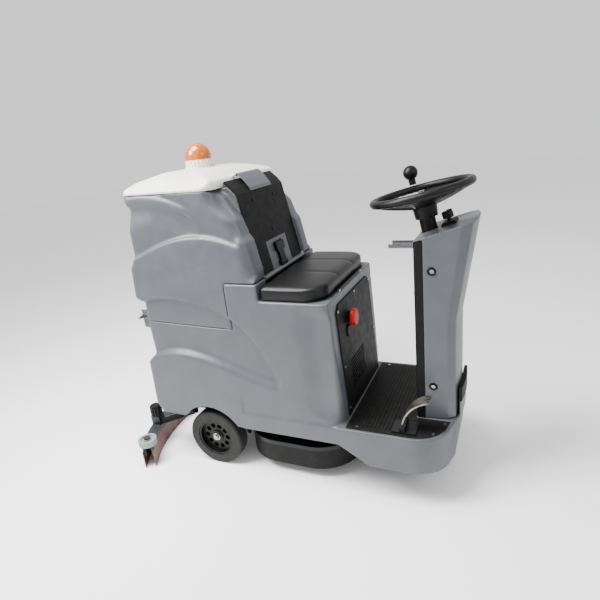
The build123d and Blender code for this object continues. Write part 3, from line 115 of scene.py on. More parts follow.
floor_mesh = bpy.data.meshes.new("studio_floor")
floor_reach = 14
corners = [(-floor_reach, -floor_reach, 0), (floor_reach, -floor_reach, 0),
           (floor_reach, floor_reach, 0), (-floor_reach, floor_reach, 0)]
floor_mesh.from_pydata(corners, [], [(0, 1, 2, 3)])
floor = bpy.data.objects.new("studio_floor", floor_mesh)
bpy.context.scene.collection.objects.link(floor)
# A hair below the tyres, so that the two never share a plane
floor.location.z = -0.0005
paper = bpy.data.materials.new("white seamless paper")
paper.use_nodes = True
paper.node_tree.nodes["Principled BSDF"].inputs["Base Color"].default_value = linear("fbfbfb")
paper.node_tree.nodes["Principled BSDF"].inputs["Roughness"].default_value = 0.9
floor_mesh.materials.append(paper)

# %% [markdown]
# ## Finishes
#
# Each finish starts from what the real surface is and how it was made. Textures read object
# coordinates, which are metres in the machine's own frame, so a grain of 1 mm is a scale of about
# 1000. A grain finer than the render can show is drawn a little coarser, and the comment says so.


# %% Tools for materials
def add_node(tree, kind, inputs=None, **settings):
    """Add one shader node, with its settings, and with each input set or linked."""
    node = tree.nodes.new(kind)
    for name, value in settings.items():
        setattr(node, name, value)
    for name, value in (inputs or {}).items():
        if isinstance(value, bpy.types.NodeSocket):
            tree.links.new(value, node.inputs[name])
        else:
            node.inputs[name].default_value = value
    return node


def start_material(name, colour, roughness, metallic=0.0, ior=1.5, gloss=0.5):
    """A new material with its shader set to typical values; gloss 0.5 is the specular level of the IOR."""
    material = bpy.data.materials.new(name)
    material.use_nodes = True
    shader = material.node_tree.nodes["Principled BSDF"]
    shader.inputs["Base Color"].default_value = linear(colour)
    shader.inputs["Roughness"].default_value = roughness
    shader.inputs["Metallic"].default_value = metallic
    shader.inputs["IOR"].default_value = ior
    shader.inputs["Specular IOR Level"].default_value = gloss
    return material


def place_in_mm(tree, stretch=(1, 1, 1)):
    """Object coordinates in millimetres, stretched along an axis where the surface has a direction."""
    place = add_node(tree, "ShaderNodeTexCoord").outputs["Object"]
    scale = [1000 * s for s in stretch]
    return add_node(tree, "ShaderNodeMapping", {"Vector": place, "Scale": scale}).outputs["Vector"]


def mottle(material, dark, light, size_mm, stretch=(1, 1, 1), contrast=(0.35, 0.65)):
    """Vary the base colour between two tones in soft patches of a real size."""
    tree = material.node_tree
    shader = tree.nodes["Principled BSDF"]
    where = place_in_mm(tree, stretch)
    patches = add_node(tree, "ShaderNodeTexNoise",
                       {"Vector": where, "Scale": 1 / size_mm, "Detail": 4, "Roughness": 0.6})
    ramp = add_node(tree, "ShaderNodeValToRGB", {"Fac": patches.outputs["Fac"]})
    ramp.color_ramp.elements[0].position = contrast[0]
    ramp.color_ramp.elements[1].position = contrast[1]
    ramp.color_ramp.elements[0].color = linear(dark)
    ramp.color_ramp.elements[1].color = linear(light)
    tree.links.new(ramp.outputs["Color"], shader.inputs["Base Color"])
    return ramp.outputs["Color"]


def grain(material, size_mm, height_mm, kind="ShaderNodeTexNoise", stretch=(1, 1, 1), strength=1.0):
    """Raise a grain of a real size and height as a bump."""
    tree = material.node_tree
    shader = tree.nodes["Principled BSDF"]
    where = place_in_mm(tree, stretch)
    pattern = add_node(tree, kind, {"Vector": where, "Scale": 1 / size_mm})
    height = pattern.outputs["Fac"] if kind == "ShaderNodeTexNoise" else pattern.outputs["Distance"]
    bump = add_node(tree, "ShaderNodeBump",
                    {"Height": height, "Distance": height_mm / 1000, "Strength": strength})
    tree.links.new(bump.outputs["Normal"], shader.inputs["Normal"])


def vary_roughness(material, low, high, size_mm, stretch=(1, 1, 1)):
    """Let the gloss wander between two values, as handling and dust leave it."""
    tree = material.node_tree
    shader = tree.nodes["Principled BSDF"]
    where = place_in_mm(tree, stretch)
    patches = add_node(tree, "ShaderNodeTexNoise", {"Vector": where, "Scale": 1 / size_mm, "Detail": 3})
    spread = add_node(tree, "ShaderNodeMapRange", {"Value": patches.outputs["Fac"], "From Min": 0.3,
                                                   "From Max": 0.7, "To Min": low, "To Max": high})
    tree.links.new(spread.outputs["Result"], shader.inputs["Roughness"])


# %% [markdown]
# ### Rotationally moulded polyethylene
#
# Base, tank and column are turned in an oven inside a hot steel mould, so the skin is satin, with a
# faint orange peel from the mould and very slight patches where the powder melted at its own pace.


# %% Polyethylene
def grey_polyethylene():
    """Satin grey skin: soft highlights, a fine peel, and pale rubbed patches."""
    material = start_material("rotomoulded grey polyethylene", "36383c", 0.4, ior=1.51)
    mottle(material, "404247", "47494e", 90)
    vary_roughness(material, 0.38, 0.47, 45)
    # The real peel is about 0.5 mm wide: drawn at 1.6 mm, so that it shows as a soft break in the gloss
    grain(material, 1.6, 0.05, strength=0.5)
    return material


def ivory_polyethylene():
    """The lid's off-white skin, with the same peel and a slightly warmer tone in soft random patches."""
    material = start_material("rotomoulded ivory polyethylene", "c9c8c1", 0.4, ior=1.51)
    mottle(material, "c4c2ba", "cecdc8", 110)
    grain(material, 1.6, 0.05, strength=0.5)
    return material


# %% [markdown]
# ### Black plastics
#
# The flat covers are moulded ABS with a spark-eroded texture: the mould's surface is pitted, so the
# part looks even and dull from any side. Knobs, hubs and the steering wheel are a smoother
# polypropylene or polyurethane that handling polishes a little.


# %% Black plastics
def textured_abs():
    """Dull black cover: a fine pitted grain that kills sharp reflections."""
    material = start_material("spark-textured black ABS", "080809", 0.58, ior=1.53, gloss=0.14)
    # Grain of 0.3 mm, drawn at 1.1 mm
    grain(material, 1.1, 0.06)
    vary_roughness(material, 0.52, 0.64, 30)
    return material


def smooth_polypropylene():
    """Black knobs and hubs: broad highlights, slightly scuffed."""
    material = start_material("moulded black polypropylene", "09090a", 0.42, ior=1.49, gloss=0.18)
    vary_roughness(material, 0.32, 0.5, 14)
    grain(material, 2.2, 0.04, strength=0.5)
    return material


def wheel_polyurethane():
    """Soft black grip of the steering wheel: a leather-like grain with a dull gloss."""
    material = start_material("foamed black polyurethane", "09090a", 0.45, ior=1.5, gloss=0.2)
    grain(material, 1.8, 0.1, kind="ShaderNodeTexVoronoi", strength=0.7)
    vary_roughness(material, 0.35, 0.5, 25)
    return material


# %% [markdown]
# ### Upholstery vinyl
#
# The seat is foam under a calendered vinyl sheet. Its embossed grain is made of small raised cells
# about 1 mm across, and the sheet shines softly where it turns over the front edge.


# %% Vinyl
def upholstery_vinyl():
    """Embossed black sheet: cells in relief under a thin clear lacquer."""
    material = start_material("embossed black vinyl", "070708", 0.42, ior=1.52, gloss=0.22)
    # Cells of 1 mm, drawn at 2 mm
    grain(material, 2.0, 0.16, kind="ShaderNodeTexVoronoi", strength=0.7)
    shader = material.node_tree.nodes["Principled BSDF"]
    shader.inputs["Coat Weight"].default_value = 0.05
    shader.inputs["Coat Roughness"].default_value = 0.3
    return material


# %% [markdown]
# ### Rubbers
#
# Five different ones. The mat and the skirt are carbon-black rubber that dust greys. The tyres are a
# solid compound, rubbed matt. The squeegee blades are reddish gum rubber, and its end rollers are a
# grey non-marking kind.


# %% Rubbers
def mat_rubber():
    """Ribbed mat: deep black, dulled by dust in soft patches."""
    material = start_material("carbon-black mat rubber", "080808", 0.62, ior=1.52, gloss=0.16)
    mottle(material, "070707", "131210", 28)
    grain(material, 1.4, 0.1)
    return material


def tyre_rubber():
    """Solid tyre: charcoal, with a dusty bloom and fine moulding marks round the wall."""
    material = start_material("solid non-marking tyre rubber", "1c1c1c", 0.7, ior=1.52, gloss=0.22)
    mottle(material, "171717", "262523", 18)
    grain(material, 1.6, 0.14)
    return material


def gum_rubber():
    """Squeegee blade: red-brown gum rubber with wiped, darker streaks."""
    material = start_material("red gum rubber", "5c2a1e", 0.5, ior=1.52)
    mottle(material, "3c1f18", "6b3325", 14, stretch=(1, 1, 0.2))
    grain(material, 1.2, 0.05)
    return material


def roller_rubber():
    """End roller: grey-green rubber, slightly chalky."""
    material = start_material("grey roller rubber", "76827d", 0.6, ior=1.52)
    mottle(material, "6c7873", "818c87", 8)
    grain(material, 1.2, 0.06)
    return material


def hose_rubber():
    """Suction hose: thin ribbed thermoplastic with a faint gloss."""
    material = start_material("ribbed hose thermoplastic", "161617", 0.45, ior=1.5, gloss=0.22)
    vary_roughness(material, 0.38, 0.55, 10)
    return material


# %% [markdown]
# ### Metals
#
# Screws and axle ends are zinc plated, which leaves a pale, slightly yellow satin. The pedal is bare
# pressed steel that shoes have scraped along its length. The two hand levers are chromed. Frame and
# squeegee yoke are powder coated, with the coat's own tiny dimples.


# %% Metals
def zinc_plate():
    """Pale satin plating with a warm tint."""
    material = start_material("zinc plated steel", "9c9a92", 0.34, metallic=1.0)
    mottle(material, "8b8982", "a8a59d", 5)
    return material


def worn_steel():
    """Bare pressed steel: streaks of wear along the foot's travel and dark stains."""
    material = start_material("bare pressed steel", "77756f", 0.36, metallic=1.0)
    mottle(material, "3c3a36", "918e86", 9, stretch=(0.25, 1, 0.25), contrast=(0.3, 0.6))
    vary_roughness(material, 0.25, 0.5, 5, stretch=(0.2, 1, 0.2))
    grain(material, 0.9, 0.03, stretch=(0.1, 1, 0.1))
    return material


def turned_steel():
    """Shafts and bearings: clean grey steel with fine turning marks."""
    material = start_material("turned steel", "a6a6a5", 0.28, metallic=1.0)
    grain(material, 0.7, 0.02, stretch=(1, 1, 6))
    return material


def chrome_plate():
    """Polished chrome with faint fingerprints."""
    material = start_material("polished chrome plate", "66676a", 0.2, metallic=1.0)
    vary_roughness(material, 0.14, 0.28, 9)
    return material


def powder_coat():
    """Black powder coat: small dimples that break up the highlights."""
    material = start_material("black powder coat", "111213", 0.42, ior=1.5, gloss=0.22)
    grain(material, 1.5, 0.08, strength=0.8)
    return material


def cast_alloy():
    """Sand-blasted alloy casting, painted dark."""
    material = start_material("painted alloy casting", "2a2b2d", 0.5, metallic=0.35)
    grain(material, 1.0, 0.1)
    mottle(material, "232426", "303234", 20)
    return material


# %% [markdown]
# ### Small coloured parts
#
# The beacon has an amber polycarbonate dome on a ribbed clear foot and a coated reflector. The
# emergency stop is a glossy red cap. The lift cable runs in a cream sheath.


# %% Coloured parts
def amber_polycarbonate():
    """Tinted clear dome: light enters, and the wall glows orange."""
    material = start_material("amber polycarbonate", "d26a00", 0.14, ior=1.586)
    shader = material.node_tree.nodes["Principled BSDF"]
    shader.inputs["Transmission Weight"].default_value = 0.4
    mottle(material, "b85400", "d87404", 9, stretch=(1, 1, 0.1))
    grain(material, 6, 0.12, strength=0.4, stretch=(1, 1, 0.15))
    return material


def ribbed_acrylic():
    """Milky clear foot under the dome."""
    material = start_material("milky ribbed acrylic", "dedbd0", 0.25, ior=1.49)
    material.node_tree.nodes["Principled BSDF"].inputs["Transmission Weight"].default_value = 0.15
    mottle(material, "d4d0c2", "e6e3da", 12)
    return material


def coated_reflector():
    """Bright vacuum coating on the turning reflector."""
    return start_material("vacuum coated reflector", "e8e8e8", 0.05, metallic=1.0)


def red_cap():
    """Glossy red thermoset cap of the emergency stop."""
    material = start_material("glossy red melamine", "b00200", 0.42, ior=1.55, gloss=0.15)
    mottle(material, "920303", "ac0504", 15)
    return material


def cable_sheath():
    """Cream extruded sheath, slightly dirty."""
    material = start_material("cream PVC sheath", "d3ccb8", 0.45, ior=1.53)
    mottle(material, "b9b19c", "dcd6c4", 9)
    return material


def nylon_bristle():
    """Blue-black bristles: fine upright streaks."""
    material = start_material("nylon bristle", "20283a", 0.55, ior=1.53)
    mottle(material, "151b29", "2c3850", 2.5, stretch=(1, 1, 0.05))
    grain(material, 1.5, 0.4, stretch=(1, 1, 0.04))
    return material


# %% [markdown]
# ## Give each CAD node its finish
#
# Most CAD nodes keep their shape. Their material slots are pointed at the new finishes, and long
# groups of nodes share one, as they do on the real machine.


# %% Assign finishes
finishes = {
    "grey": grey_polyethylene(), "ivory": ivory_polyethylene(), "abs": textured_abs(),
    "knob": smooth_polypropylene(), "wheel": wheel_polyurethane(), "vinyl": upholstery_vinyl(),
    "mat": mat_rubber(), "tyre": tyre_rubber(), "gum": gum_rubber(), "roller": roller_rubber(),
    "hose": hose_rubber(), "zinc": zinc_plate(), "worn": worn_steel(), "steel": turned_steel(),
    "chrome": chrome_plate(), "coat": powder_coat(), "alloy": cast_alloy(), "amber": amber_polycarbonate(),
    "acrylic": ribbed_acrylic(), "reflector": coated_reflector(), "red": red_cap(),
    "sheath": cable_sheath(), "bristle": nylon_bristle(),
}
finish_of = {
    "grey": ["main_body", "recovery_tank", "column_shell", "notch_plate", "latch_clip"],
    "ivory": ["tank_lid"],
    "abs": ["seat_base_panel", "backrest_panel", "column_rear_cover", "dash_pod", "charge_socket",
            "batteries", "vacuum_motor"],
    "knob": ["e_stop_collar", "speed_knob", "shaft_housing", "spinner_knob", "rear_hub_left",
             "rear_hub_right", "tank_lock_lever", "squeegee_knobs"],
    "wheel": ["steering_wheel"],
    "vinyl": ["seat_cushion"],
    "mat": ["deck_mat", "front_bumper", "deck_skirt"],
    "tyre": ["rear_tyre_left", "rear_tyre_right", "drive_tyre"],
    "gum": ["squeegee_blades"],
    "roller": ["end_roller_left", "end_roller_right"],
    "hose": ["squeegee_hose"],
    "zinc": ["rear_axle", "body_fixings"],
    "worn": ["accelerator_pedal"],
    "steel": ["fork_bearing", "steering_shaft", "steering_pinion"],
    "chrome": ["deck_lever", "squeegee_lever"],
    "coat": ["chassis_frame", "squeegee_arm", "drive_fork", "brush_deck", "seat_pan", "pedal_base",
             "backrest_fixings"],
    "alloy": ["motor_controller", "brush_motor", "drive_hub", "squeegee_bar"],
    "amber": ["beacon_dome"],
    "acrylic": ["beacon_base"],
    "reflector": ["beacon_reflector"],
    "red": ["e_stop_button"],
    "sheath": ["lift_cable"],
    "bristle": ["scrub_brush"],
}
for finish, members in finish_of.items():
    for member in members:
        for holder in nodes[member].material_slots:
            holder.material = finishes[finish]
print("nodes with a finish:", sum(len(members) for members in finish_of.values()), "of", len(nodes))

# %% [markdown]
# ## Mouldings with soft edges
#
# A rotomoulded shell has no sharp edge: the powder rounds every corner by several millimetres. A
# bevel modifier fails on so many meeting cuts, so the CAD shape is rebuilt as an even skin of small
# squares (a voxel remesh) and then relaxed. The even skin also gives the vertices that the sculpted
# ledges need. What the two steps take away stays inside the CAD shape.


# %% Remesh and relax
def evaluated_mesh(piece):
    """The mesh of a piece with its modifiers applied."""
    graph = bpy.context.evaluated_depsgraph_get()
    return bpy.data.meshes.new_from_object(piece.evaluated_get(graph))


def apply_modifiers(piece):
    """Freeze the modifiers of a piece into its mesh."""
    mesh = evaluated_mesh(piece)
    piece.modifiers.clear()
    piece.data = mesh


def remesh_again(piece, voxel):
    """A fresh even skin after a shape has been pushed in."""
    remesh = piece.modifiers.new("even skin", "REMESH")
    remesh.mode = "VOXEL"
    remesh.voxel_size = voxel
    apply_modifiers(piece)


def moulded_copy(node, voxel):
    """An even skin in the shape of a CAD node, as a new piece."""
    piece = bpy.data.objects.new(node + "_moulding", nodes[node].data.copy())
    bpy.context.scene.collection.objects.link(piece)
    remesh_again(piece, voxel)
    return piece


def relax(piece, rounds):
    """Round the edges of a piece by averaging neighbours."""
    smooth = piece.modifiers.new("relax", "SMOOTH")
    smooth.factor = 0.5
    smooth.iterations = rounds
    apply_modifiers(piece)


def finish_moulding(piece, node, material):
    """Shade a moulding smooth, give it its finish and let it stand for its CAD node."""
    piece.data.materials.clear()
    piece.data.materials.append(material)
    for polygon in piece.data.polygons:
        polygon.use_smooth = True
        polygon.material_index = 0
    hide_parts(node)
    print(piece.name, len(piece.data.polygons), "faces")


def read_points(piece):
    """The places of a piece's vertices, one row each."""
    co = np.zeros(len(piece.data.vertices) * 3)
    piece.data.vertices.foreach_get("co", co)
    return co.reshape(-1, 3)


def write_points(piece, co):
    """Move the vertices of a piece to new places."""
    piece.data.vertices.foreach_set("co", co.ravel())
    piece.data.update()


# %% [markdown]
# ## The ledges on the flanks
#
# Long arcs run over both flanks. Below each arc the skin steps out, and the step's upper side
# catches the light. One broad sickle-shaped hollow crosses the seam from the tank into the base.
# Each arc is a low-order curve through a few points (in millimetres from the rear axle), and the
# skin's half width is worked out from the height above or below it. Moving every vertex near the
# flank by the same rule keeps the wall's thickness.


# %% Arcs and steps
tyre_low, tyre_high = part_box("rear_tyre_left")
axle_x = (tyre_low.x + tyre_high.x) / 2
print("rear axle at x =", round(axle_x, 4))


def smooth_step(t):
    """Rise smoothly from 0 to 1 while t goes from 0 to 1."""
    t = np.clip(t, 0, 1)
    return t * t * (3 - 2 * t)


def arc(points, order):
    """A smooth curve z(x) through points given in millimetres from the rear axle."""
    x, z = np.array(points, float).T / 1000
    return np.poly1d(np.polyfit(x, z, order))


hollow_top = arc([(-223, 749), (-57, 756), (58, 742), (131, 714), (176, 682), (250, 624), (304, 550),
                  (332, 489), (350, 440)], 4)
band_top = arc([(-225, 512), (-58, 545), (93, 517), (226, 473), (325, 458)], 3)
band_low = arc([(-242, 483), (-66, 510), (104, 476), (234, 419), (340, 396)], 3)
upper_ledge = arc([(-231, 914), (-139, 954), (-20, 989), (86, 997), (183, 987), (230, 965)], 3)
top_ledge = arc([(-214, 1148), (-122, 1155), (-21, 1134), (85, 1086)], 2)


def hollow_depth(x, z):
    """How far inside the sickle-shaped hollow a place is, from 0 to 1."""
    slope = np.polyder(hollow_top)(x)
    below_top = (hollow_top(x) - z) / np.sqrt(1 + slope * slope)
    above_band = (z - band_low(x)) / np.maximum(band_top(x) - band_low(x), 0.01)
    end = smooth_step((0.372 - x) / 0.05)
    return smooth_step(below_top / 0.006) * smooth_step(above_band) * end


def ledge_depth(x, z, depth, step, reach):
    """A hollow above a ledge: full just above the step, and gone at its reach."""
    above = z - upper_ledge(x)
    return depth * smooth_step(above / step) * (1 - smooth_step((above - step) / reach))


def top_ledge_depth(x, z):
    """The short ledge under the lid: a shallow hollow above it and a scoop below."""
    height = z - top_ledge(x)
    above = 0.006 * smooth_step(height / 0.014) * (1 - smooth_step((height - 0.014) / 0.03))
    scoop = 0.013 * smooth_step((-0.012 - height) / 0.03) * (1 - smooth_step((-0.045 - height) / 0.085))
    return (above + scoop) * smooth_step((0.1 - x) / 0.07)


def round_corner(distance, radius):
    """How far a flank falls away near a corner, for a round corner of a given radius."""
    t = np.clip(1 - distance / radius, 0, 1)
    return radius * (1 - np.sqrt(1 - t * t))


def press_in(points, limit, outer, wall):
    """Bring a skin inside a half width: its outer side to the limit, its inner side a wall less."""
    side = np.sign(points[:, 1])
    half = np.abs(points[:, 1])
    points[:, 1] = side * np.where(outer, np.minimum(half, limit), np.minimum(half, limit - wall))


# Side outlines of the rear and of the tank's front, as height and distance from the rear axle
rear_outline = np.array([(223, -259), (269, -286), (467, -278), (498, -251), (651, -256),
                         (739, -252), (754, -284), (878, -274), (903, -257), (1035, -239),
                         (1110, -223), (1165, -238)]) / 1000
front_outline = np.array([(830, 300), (863, 300), (978, 278), (999, 262), (1055, 245), (1134, 192),
                          (1165, 150)]) / 1000
base_half_width = 0.283
tank_half_width = 0.272
hollow_half_width = 0.259
print("half widths: base", base_half_width, "tank", tank_half_width, "hollow", hollow_half_width)


# %% [markdown]
# ### Base moulding
#
# The flank of the base is nearly flat, and a little narrower beside the seat than over the wheels.
# Its skin is snapped to that width, less the hollow, and then relaxed.

# %% Base moulding
body_voxel = 0.0042
body = moulded_copy("main_body", body_voxel)
points = read_points(body)
x = points[:, 0] - axle_x
z = points[:, 2]
nominal = base_half_width - 0.0065 * smooth_step((x + 0.06) / 0.22) * smooth_step((z - 0.282) / 0.1)
recess = hollow_depth(x, z) * (nominal - hollow_half_width)
behind = x - np.interp(z, rear_outline[:, 0], rear_outline[:, 1])
seat_front = 0.573 + 0.024 * (0.732 - z) / 0.45
shoulder = 0.016 * smooth_step((x - seat_front + 0.15) / 0.1)
shoulder = shoulder * smooth_step((z - 0.29) / 0.05) * (1 - smooth_step((z - 0.7) / 0.06)) * (x < 0.62)
limit = nominal - recess - round_corner(behind, 0.03) - shoulder
press_in(points, limit, np.ones(len(points), bool), 0)
write_points(body, points)
remesh_again(body, body_voxel)
relax(body, 5)
finish_moulding(body, "main_body", finishes["grey"])
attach(body, "chassis")

# %% [markdown]
# ### Recovery tank
#
# The tank carries two ledges and the rear half of the hollow. Its front edges beside the backrest
# are rounder than any other, and near the lid they follow the lid's own outline.

# %% Recovery tank
tank_voxel = 0.004
tank_wall = 0.008
tank = moulded_copy("recovery_tank", tank_voxel)
points = read_points(tank)
x = points[:, 0] - axle_x
z = points[:, 2]
half = np.abs(points[:, 1])
recess = hollow_depth(x, z) * (tank_half_width - hollow_half_width)
recess = recess + ledge_depth(x, z, 0.014, 0.012, 0.12) * smooth_step((0.262 - x) / 0.03)
recess = recess + top_ledge_depth(x, z)
behind = x - np.interp(z, rear_outline[:, 0], rear_outline[:, 1])
under_lid = smooth_step((z - 1.05) / 0.11)
front = np.interp(z, front_outline[:, 0], front_outline[:, 1]) * (1 - under_lid) + 0.17 * under_lid
ahead = front - x
fall = round_corner(behind, 0.032) + round_corner(ahead, 0.05) * smooth_step((z - 0.83) / 0.03)
# Only what lies inside the outer skin on every side counts as the wall's inner face
inner = (half < tank_half_width - 0.0045) & (behind > 0.0045) & (ahead > 0.02)
press_in(points, tank_half_width - recess - fall, ~inner, tank_wall)
write_points(tank, points)
remesh_again(tank, tank_voxel)
relax(tank, 5)
finish_moulding(tank, "recovery_tank", finishes["grey"])
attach(tank, "tank")

# %% [markdown]
# ### Lid and column
#
# Both are simpler shells: an even skin and a longer relaxing make the lid's crown and the column's
# creased shoulders read as mouldings.

# %% Lid and column
def relax_above(piece, rounds, low, fade):
    """Round a piece by averaging neighbours, but only above a height, so that its rim stays put."""
    points = read_points(piece)
    weight = smooth_step((points[:, 2] - low) / fade)
    group = piece.vertex_groups.new(name="upper")
    for index in np.flatnonzero(weight > 0):
        group.add([int(index)], float(weight[index]), "REPLACE")
    smooth = piece.modifiers.new("relax", "SMOOTH")
    smooth.factor = 0.5
    smooth.iterations = rounds
    smooth.vertex_group = "upper"
    apply_modifiers(piece)
    piece.vertex_groups.clear()


lid_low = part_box("recovery_tank")[1].z
lid = moulded_copy("tank_lid", 0.0035)
relax_above(lid, 60, lid_low + 0.008, 0.012)
relax(lid, 3)
finish_moulding(lid, "tank_lid", finishes["ivory"])
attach(lid, "lid")

column = moulded_copy("column_shell", 0.0035)
relax(column, 5)
finish_moulding(column, "column_shell", finishes["grey"])
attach(column, "chassis")

# %% [markdown]
# ### Bolts in cups
#
# Each of the column's bolts sits in a black cup, but the CAD model files both in one node. The node's
# loose shells are told apart by their width, so that cup and bolt get their own finish.


# %% Bolts in cups
def piece_from(mesh, name):
    """Turn a finished bmesh into a piece of the scene."""
    data = bpy.data.meshes.new(name)
    mesh.to_mesh(data)
    mesh.free()
    piece = bpy.data.objects.new(name, data)
    bpy.context.scene.collection.objects.link(piece)
    return piece


def loose_shells(node):
    """The joined-up mesh of a CAD node and its separate shells, each as a list of vertices."""
    mesh = bmesh.new()
    mesh.from_mesh(nodes[node].data)
    bmesh.ops.remove_doubles(mesh, verts=mesh.verts, dist=1e-6)
    waiting = set(mesh.verts)
    shells = []
    while waiting:
        front = [waiting.pop()]
        shell = []
        while front:
            vertex = front.pop()
            shell.append(vertex)
            for edge in vertex.link_edges:
                other = edge.other_vert(vertex)
                if other in waiting:
                    waiting.remove(other)
                    front.append(other)
        shells.append(shell)
    return mesh, shells


def shells_as_piece(node, name, wanted):
    """A new piece from the shells of a CAD node whose width along X passes a test."""
    mesh, shells = loose_shells(node)
    for shell in shells:
        width = max(v.co.x for v in shell) - min(v.co.x for v in shell)
        if not wanted(width):
            bmesh.ops.delete(mesh, geom=shell, context="VERTS")
    return piece_from(mesh, name)


cup_width = 0.02
cups = shells_as_piece("column_bolts", "bolt_cups", lambda width: width > cup_width)
bolts = shells_as_piece("column_bolts", "column_bolt_heads", lambda width: width <= cup_width)
for piece, finish in ((cups, "knob"), (bolts, "zinc")):
    piece.data.materials.append(finishes[finish])
    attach(piece, "chassis")
    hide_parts("column_bolts")
    print(piece.name, len(piece.data.polygons), "faces")

# %% [markdown]
# ## Seat
#
# The cushion is foam under stretched vinyl: a crowned top with two shallow lengthwise channels, full
# sides and a tight bottom edge. A cloth simulation with a little air pressure gives the swelling,
# which no bevel can. More pressure would crumple the corners, so it stays low and the skin is relaxed
# after it. The channels are pressed in last, because relaxing would wash them out.


# %% Seat cushion
seat_low, seat_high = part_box("seat_cushion")


def shrink(piece, amount):
    """Bring a piece in from its box by the same distance on every side."""
    points = read_points(piece)
    middle = (points.max(0) + points.min(0)) / 2
    extent = (points.max(0) - points.min(0)) / 2
    points = middle + (points - middle) * (extent - amount) / extent
    write_points(piece, points)


def inflate(piece, pressure, frames, limit):
    """Swell a closed skin with cloth under air pressure, and cap how far each point may move."""
    before = read_points(piece)
    cloth = piece.modifiers.new("vinyl", "CLOTH")
    cloth.settings.use_pressure = True
    cloth.settings.uniform_pressure_force = pressure
    cloth.settings.tension_stiffness = 40
    cloth.settings.compression_stiffness = 40
    cloth.settings.bending_stiffness = 4
    cloth.settings.effector_weights.gravity = 0
    scene = bpy.context.scene
    for number in range(1, frames + 1):
        scene.frame_set(number)
    apply_modifiers(piece)
    scene.frame_set(1)
    after = read_points(piece)
    move = after - before
    length = np.linalg.norm(move, axis=1, keepdims=True)
    move = move * np.minimum(1, limit / np.maximum(length, 1e-9))
    write_points(piece, before + move)


cushion = moulded_copy("seat_cushion", 0.006)
cushion.name = "seat_cushion_pad"
shrink(cushion, 0.0055)
relax(cushion, 3)
inflate(cushion, 1.2, 10, 0.005)
relax(cushion, 8)
points = read_points(cushion)
# The vinyl is pulled down over the edge of the pan, except along the hinge at the front
bottom = seat_low.z - 0.0045 * (1 - smooth_step((points[:, 0] - seat_high.x + 0.06) / 0.03))
across = np.abs(points[:, 1])
top_share = smooth_step((points[:, 2] - seat_high.z + 0.03) / 0.02)
channel = np.exp(-((across - 0.085) / 0.012) ** 2) * 0.0025
crown = 0.006 * np.cos(np.clip(across / 0.262, 0, 1) * math.pi / 2)
points[:, 2] += top_share * (crown - channel - 0.006)
underside = smooth_step((seat_low.z + 0.02 - points[:, 2]) / 0.014)
points[:, 2] = points[:, 2] * (1 - underside) + bottom * underside
points[:, 0] = np.clip(points[:, 0], seat_low.x, seat_high.x + 0.003)
points[:, 1] = np.clip(points[:, 1], seat_low.y, seat_high.y)
write_points(cushion, points)
cushion.modifiers.new("smooth", "SUBSURF").levels = 1
cushion.modifiers["smooth"].render_levels = 1
apply_modifiers(cushion)
finish_moulding(cushion, "seat_cushion", finishes["vinyl"])
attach(cushion, "seat")
print("cushion height", round(read_points(cushion)[:, 2].max() - seat_low.z, 4))

# %% [markdown]
# ## Steering wheel
#
# The wheel is foamed round a steel core: a fat rim, and three broad spokes that dish down to the hub.
# The CAD spokes are plain bars, so rim and spokes are drawn here round the steering joint's axis: a
# ring of circles, and for each spoke a curved sheet that is then given its thickness.


# %% Steering wheel
wheel_low, wheel_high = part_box("steering_wheel")
rim_tube = 0.014
rim_radius = (wheel_high.y - wheel_low.y) / 2 - rim_tube
column_lean = math.radians(11)
wheel_axis = Vector((-math.sin(column_lean), 0, math.cos(column_lean)))
wheel_side = Vector((wheel_axis.z, 0, -wheel_axis.x))
wheel_across = Vector((0, 1, 0))
wheel_ahead_of_axle = 0.846
wheel_height = 1.09
wheel_centre = Vector((axle_x + wheel_ahead_of_axle, 0, wheel_height))
print("rim radius", round(rim_radius, 4))


def wheel_point(radius, angle, height):
    """A point of the steering wheel in its own round coordinates."""
    spread = wheel_side * math.cos(angle) + wheel_across * math.sin(angle)
    return wheel_centre + spread * radius + wheel_axis * height


def grid_piece(name, rows, close_across=False, close_along=False):
    """A piece from rows of points, closed round in either direction if asked."""
    mesh = bmesh.new()
    verts = [[mesh.verts.new(point) for point in row] for row in rows]
    if close_along:
        verts.append(verts[0])
    for first, second in zip(verts, verts[1:]):
        if close_across:
            first = first + first[:1]
            second = second + second[:1]
        for step in range(len(first) - 1):
            mesh.faces.new((first[step], first[step + 1], second[step + 1], second[step]))
    bmesh.ops.recalc_face_normals(mesh, faces=mesh.faces)
    piece = piece_from(mesh, name)
    for polygon in piece.data.polygons:
        polygon.use_smooth = True
    return piece


grip_count = 36
grip_depth = 0.0012


def rim_ring(angle, sides=20):
    """One circle of the rim, pinched a little by finger grips on its underside."""
    ring = []
    for step in range(sides):
        turn = 2 * math.pi * step / sides
        grip = grip_depth * max(0, -math.sin(turn)) * (1 + math.cos(grip_count * angle)) / 2
        tube = rim_tube - grip
        ring.append(wheel_point(rim_radius + tube * math.cos(turn), angle, tube * math.sin(turn)))
    return ring


rim = grid_piece("steering_rim", [rim_ring(math.radians(2 * step)) for step in range(180)],
                 close_across=True, close_along=True)

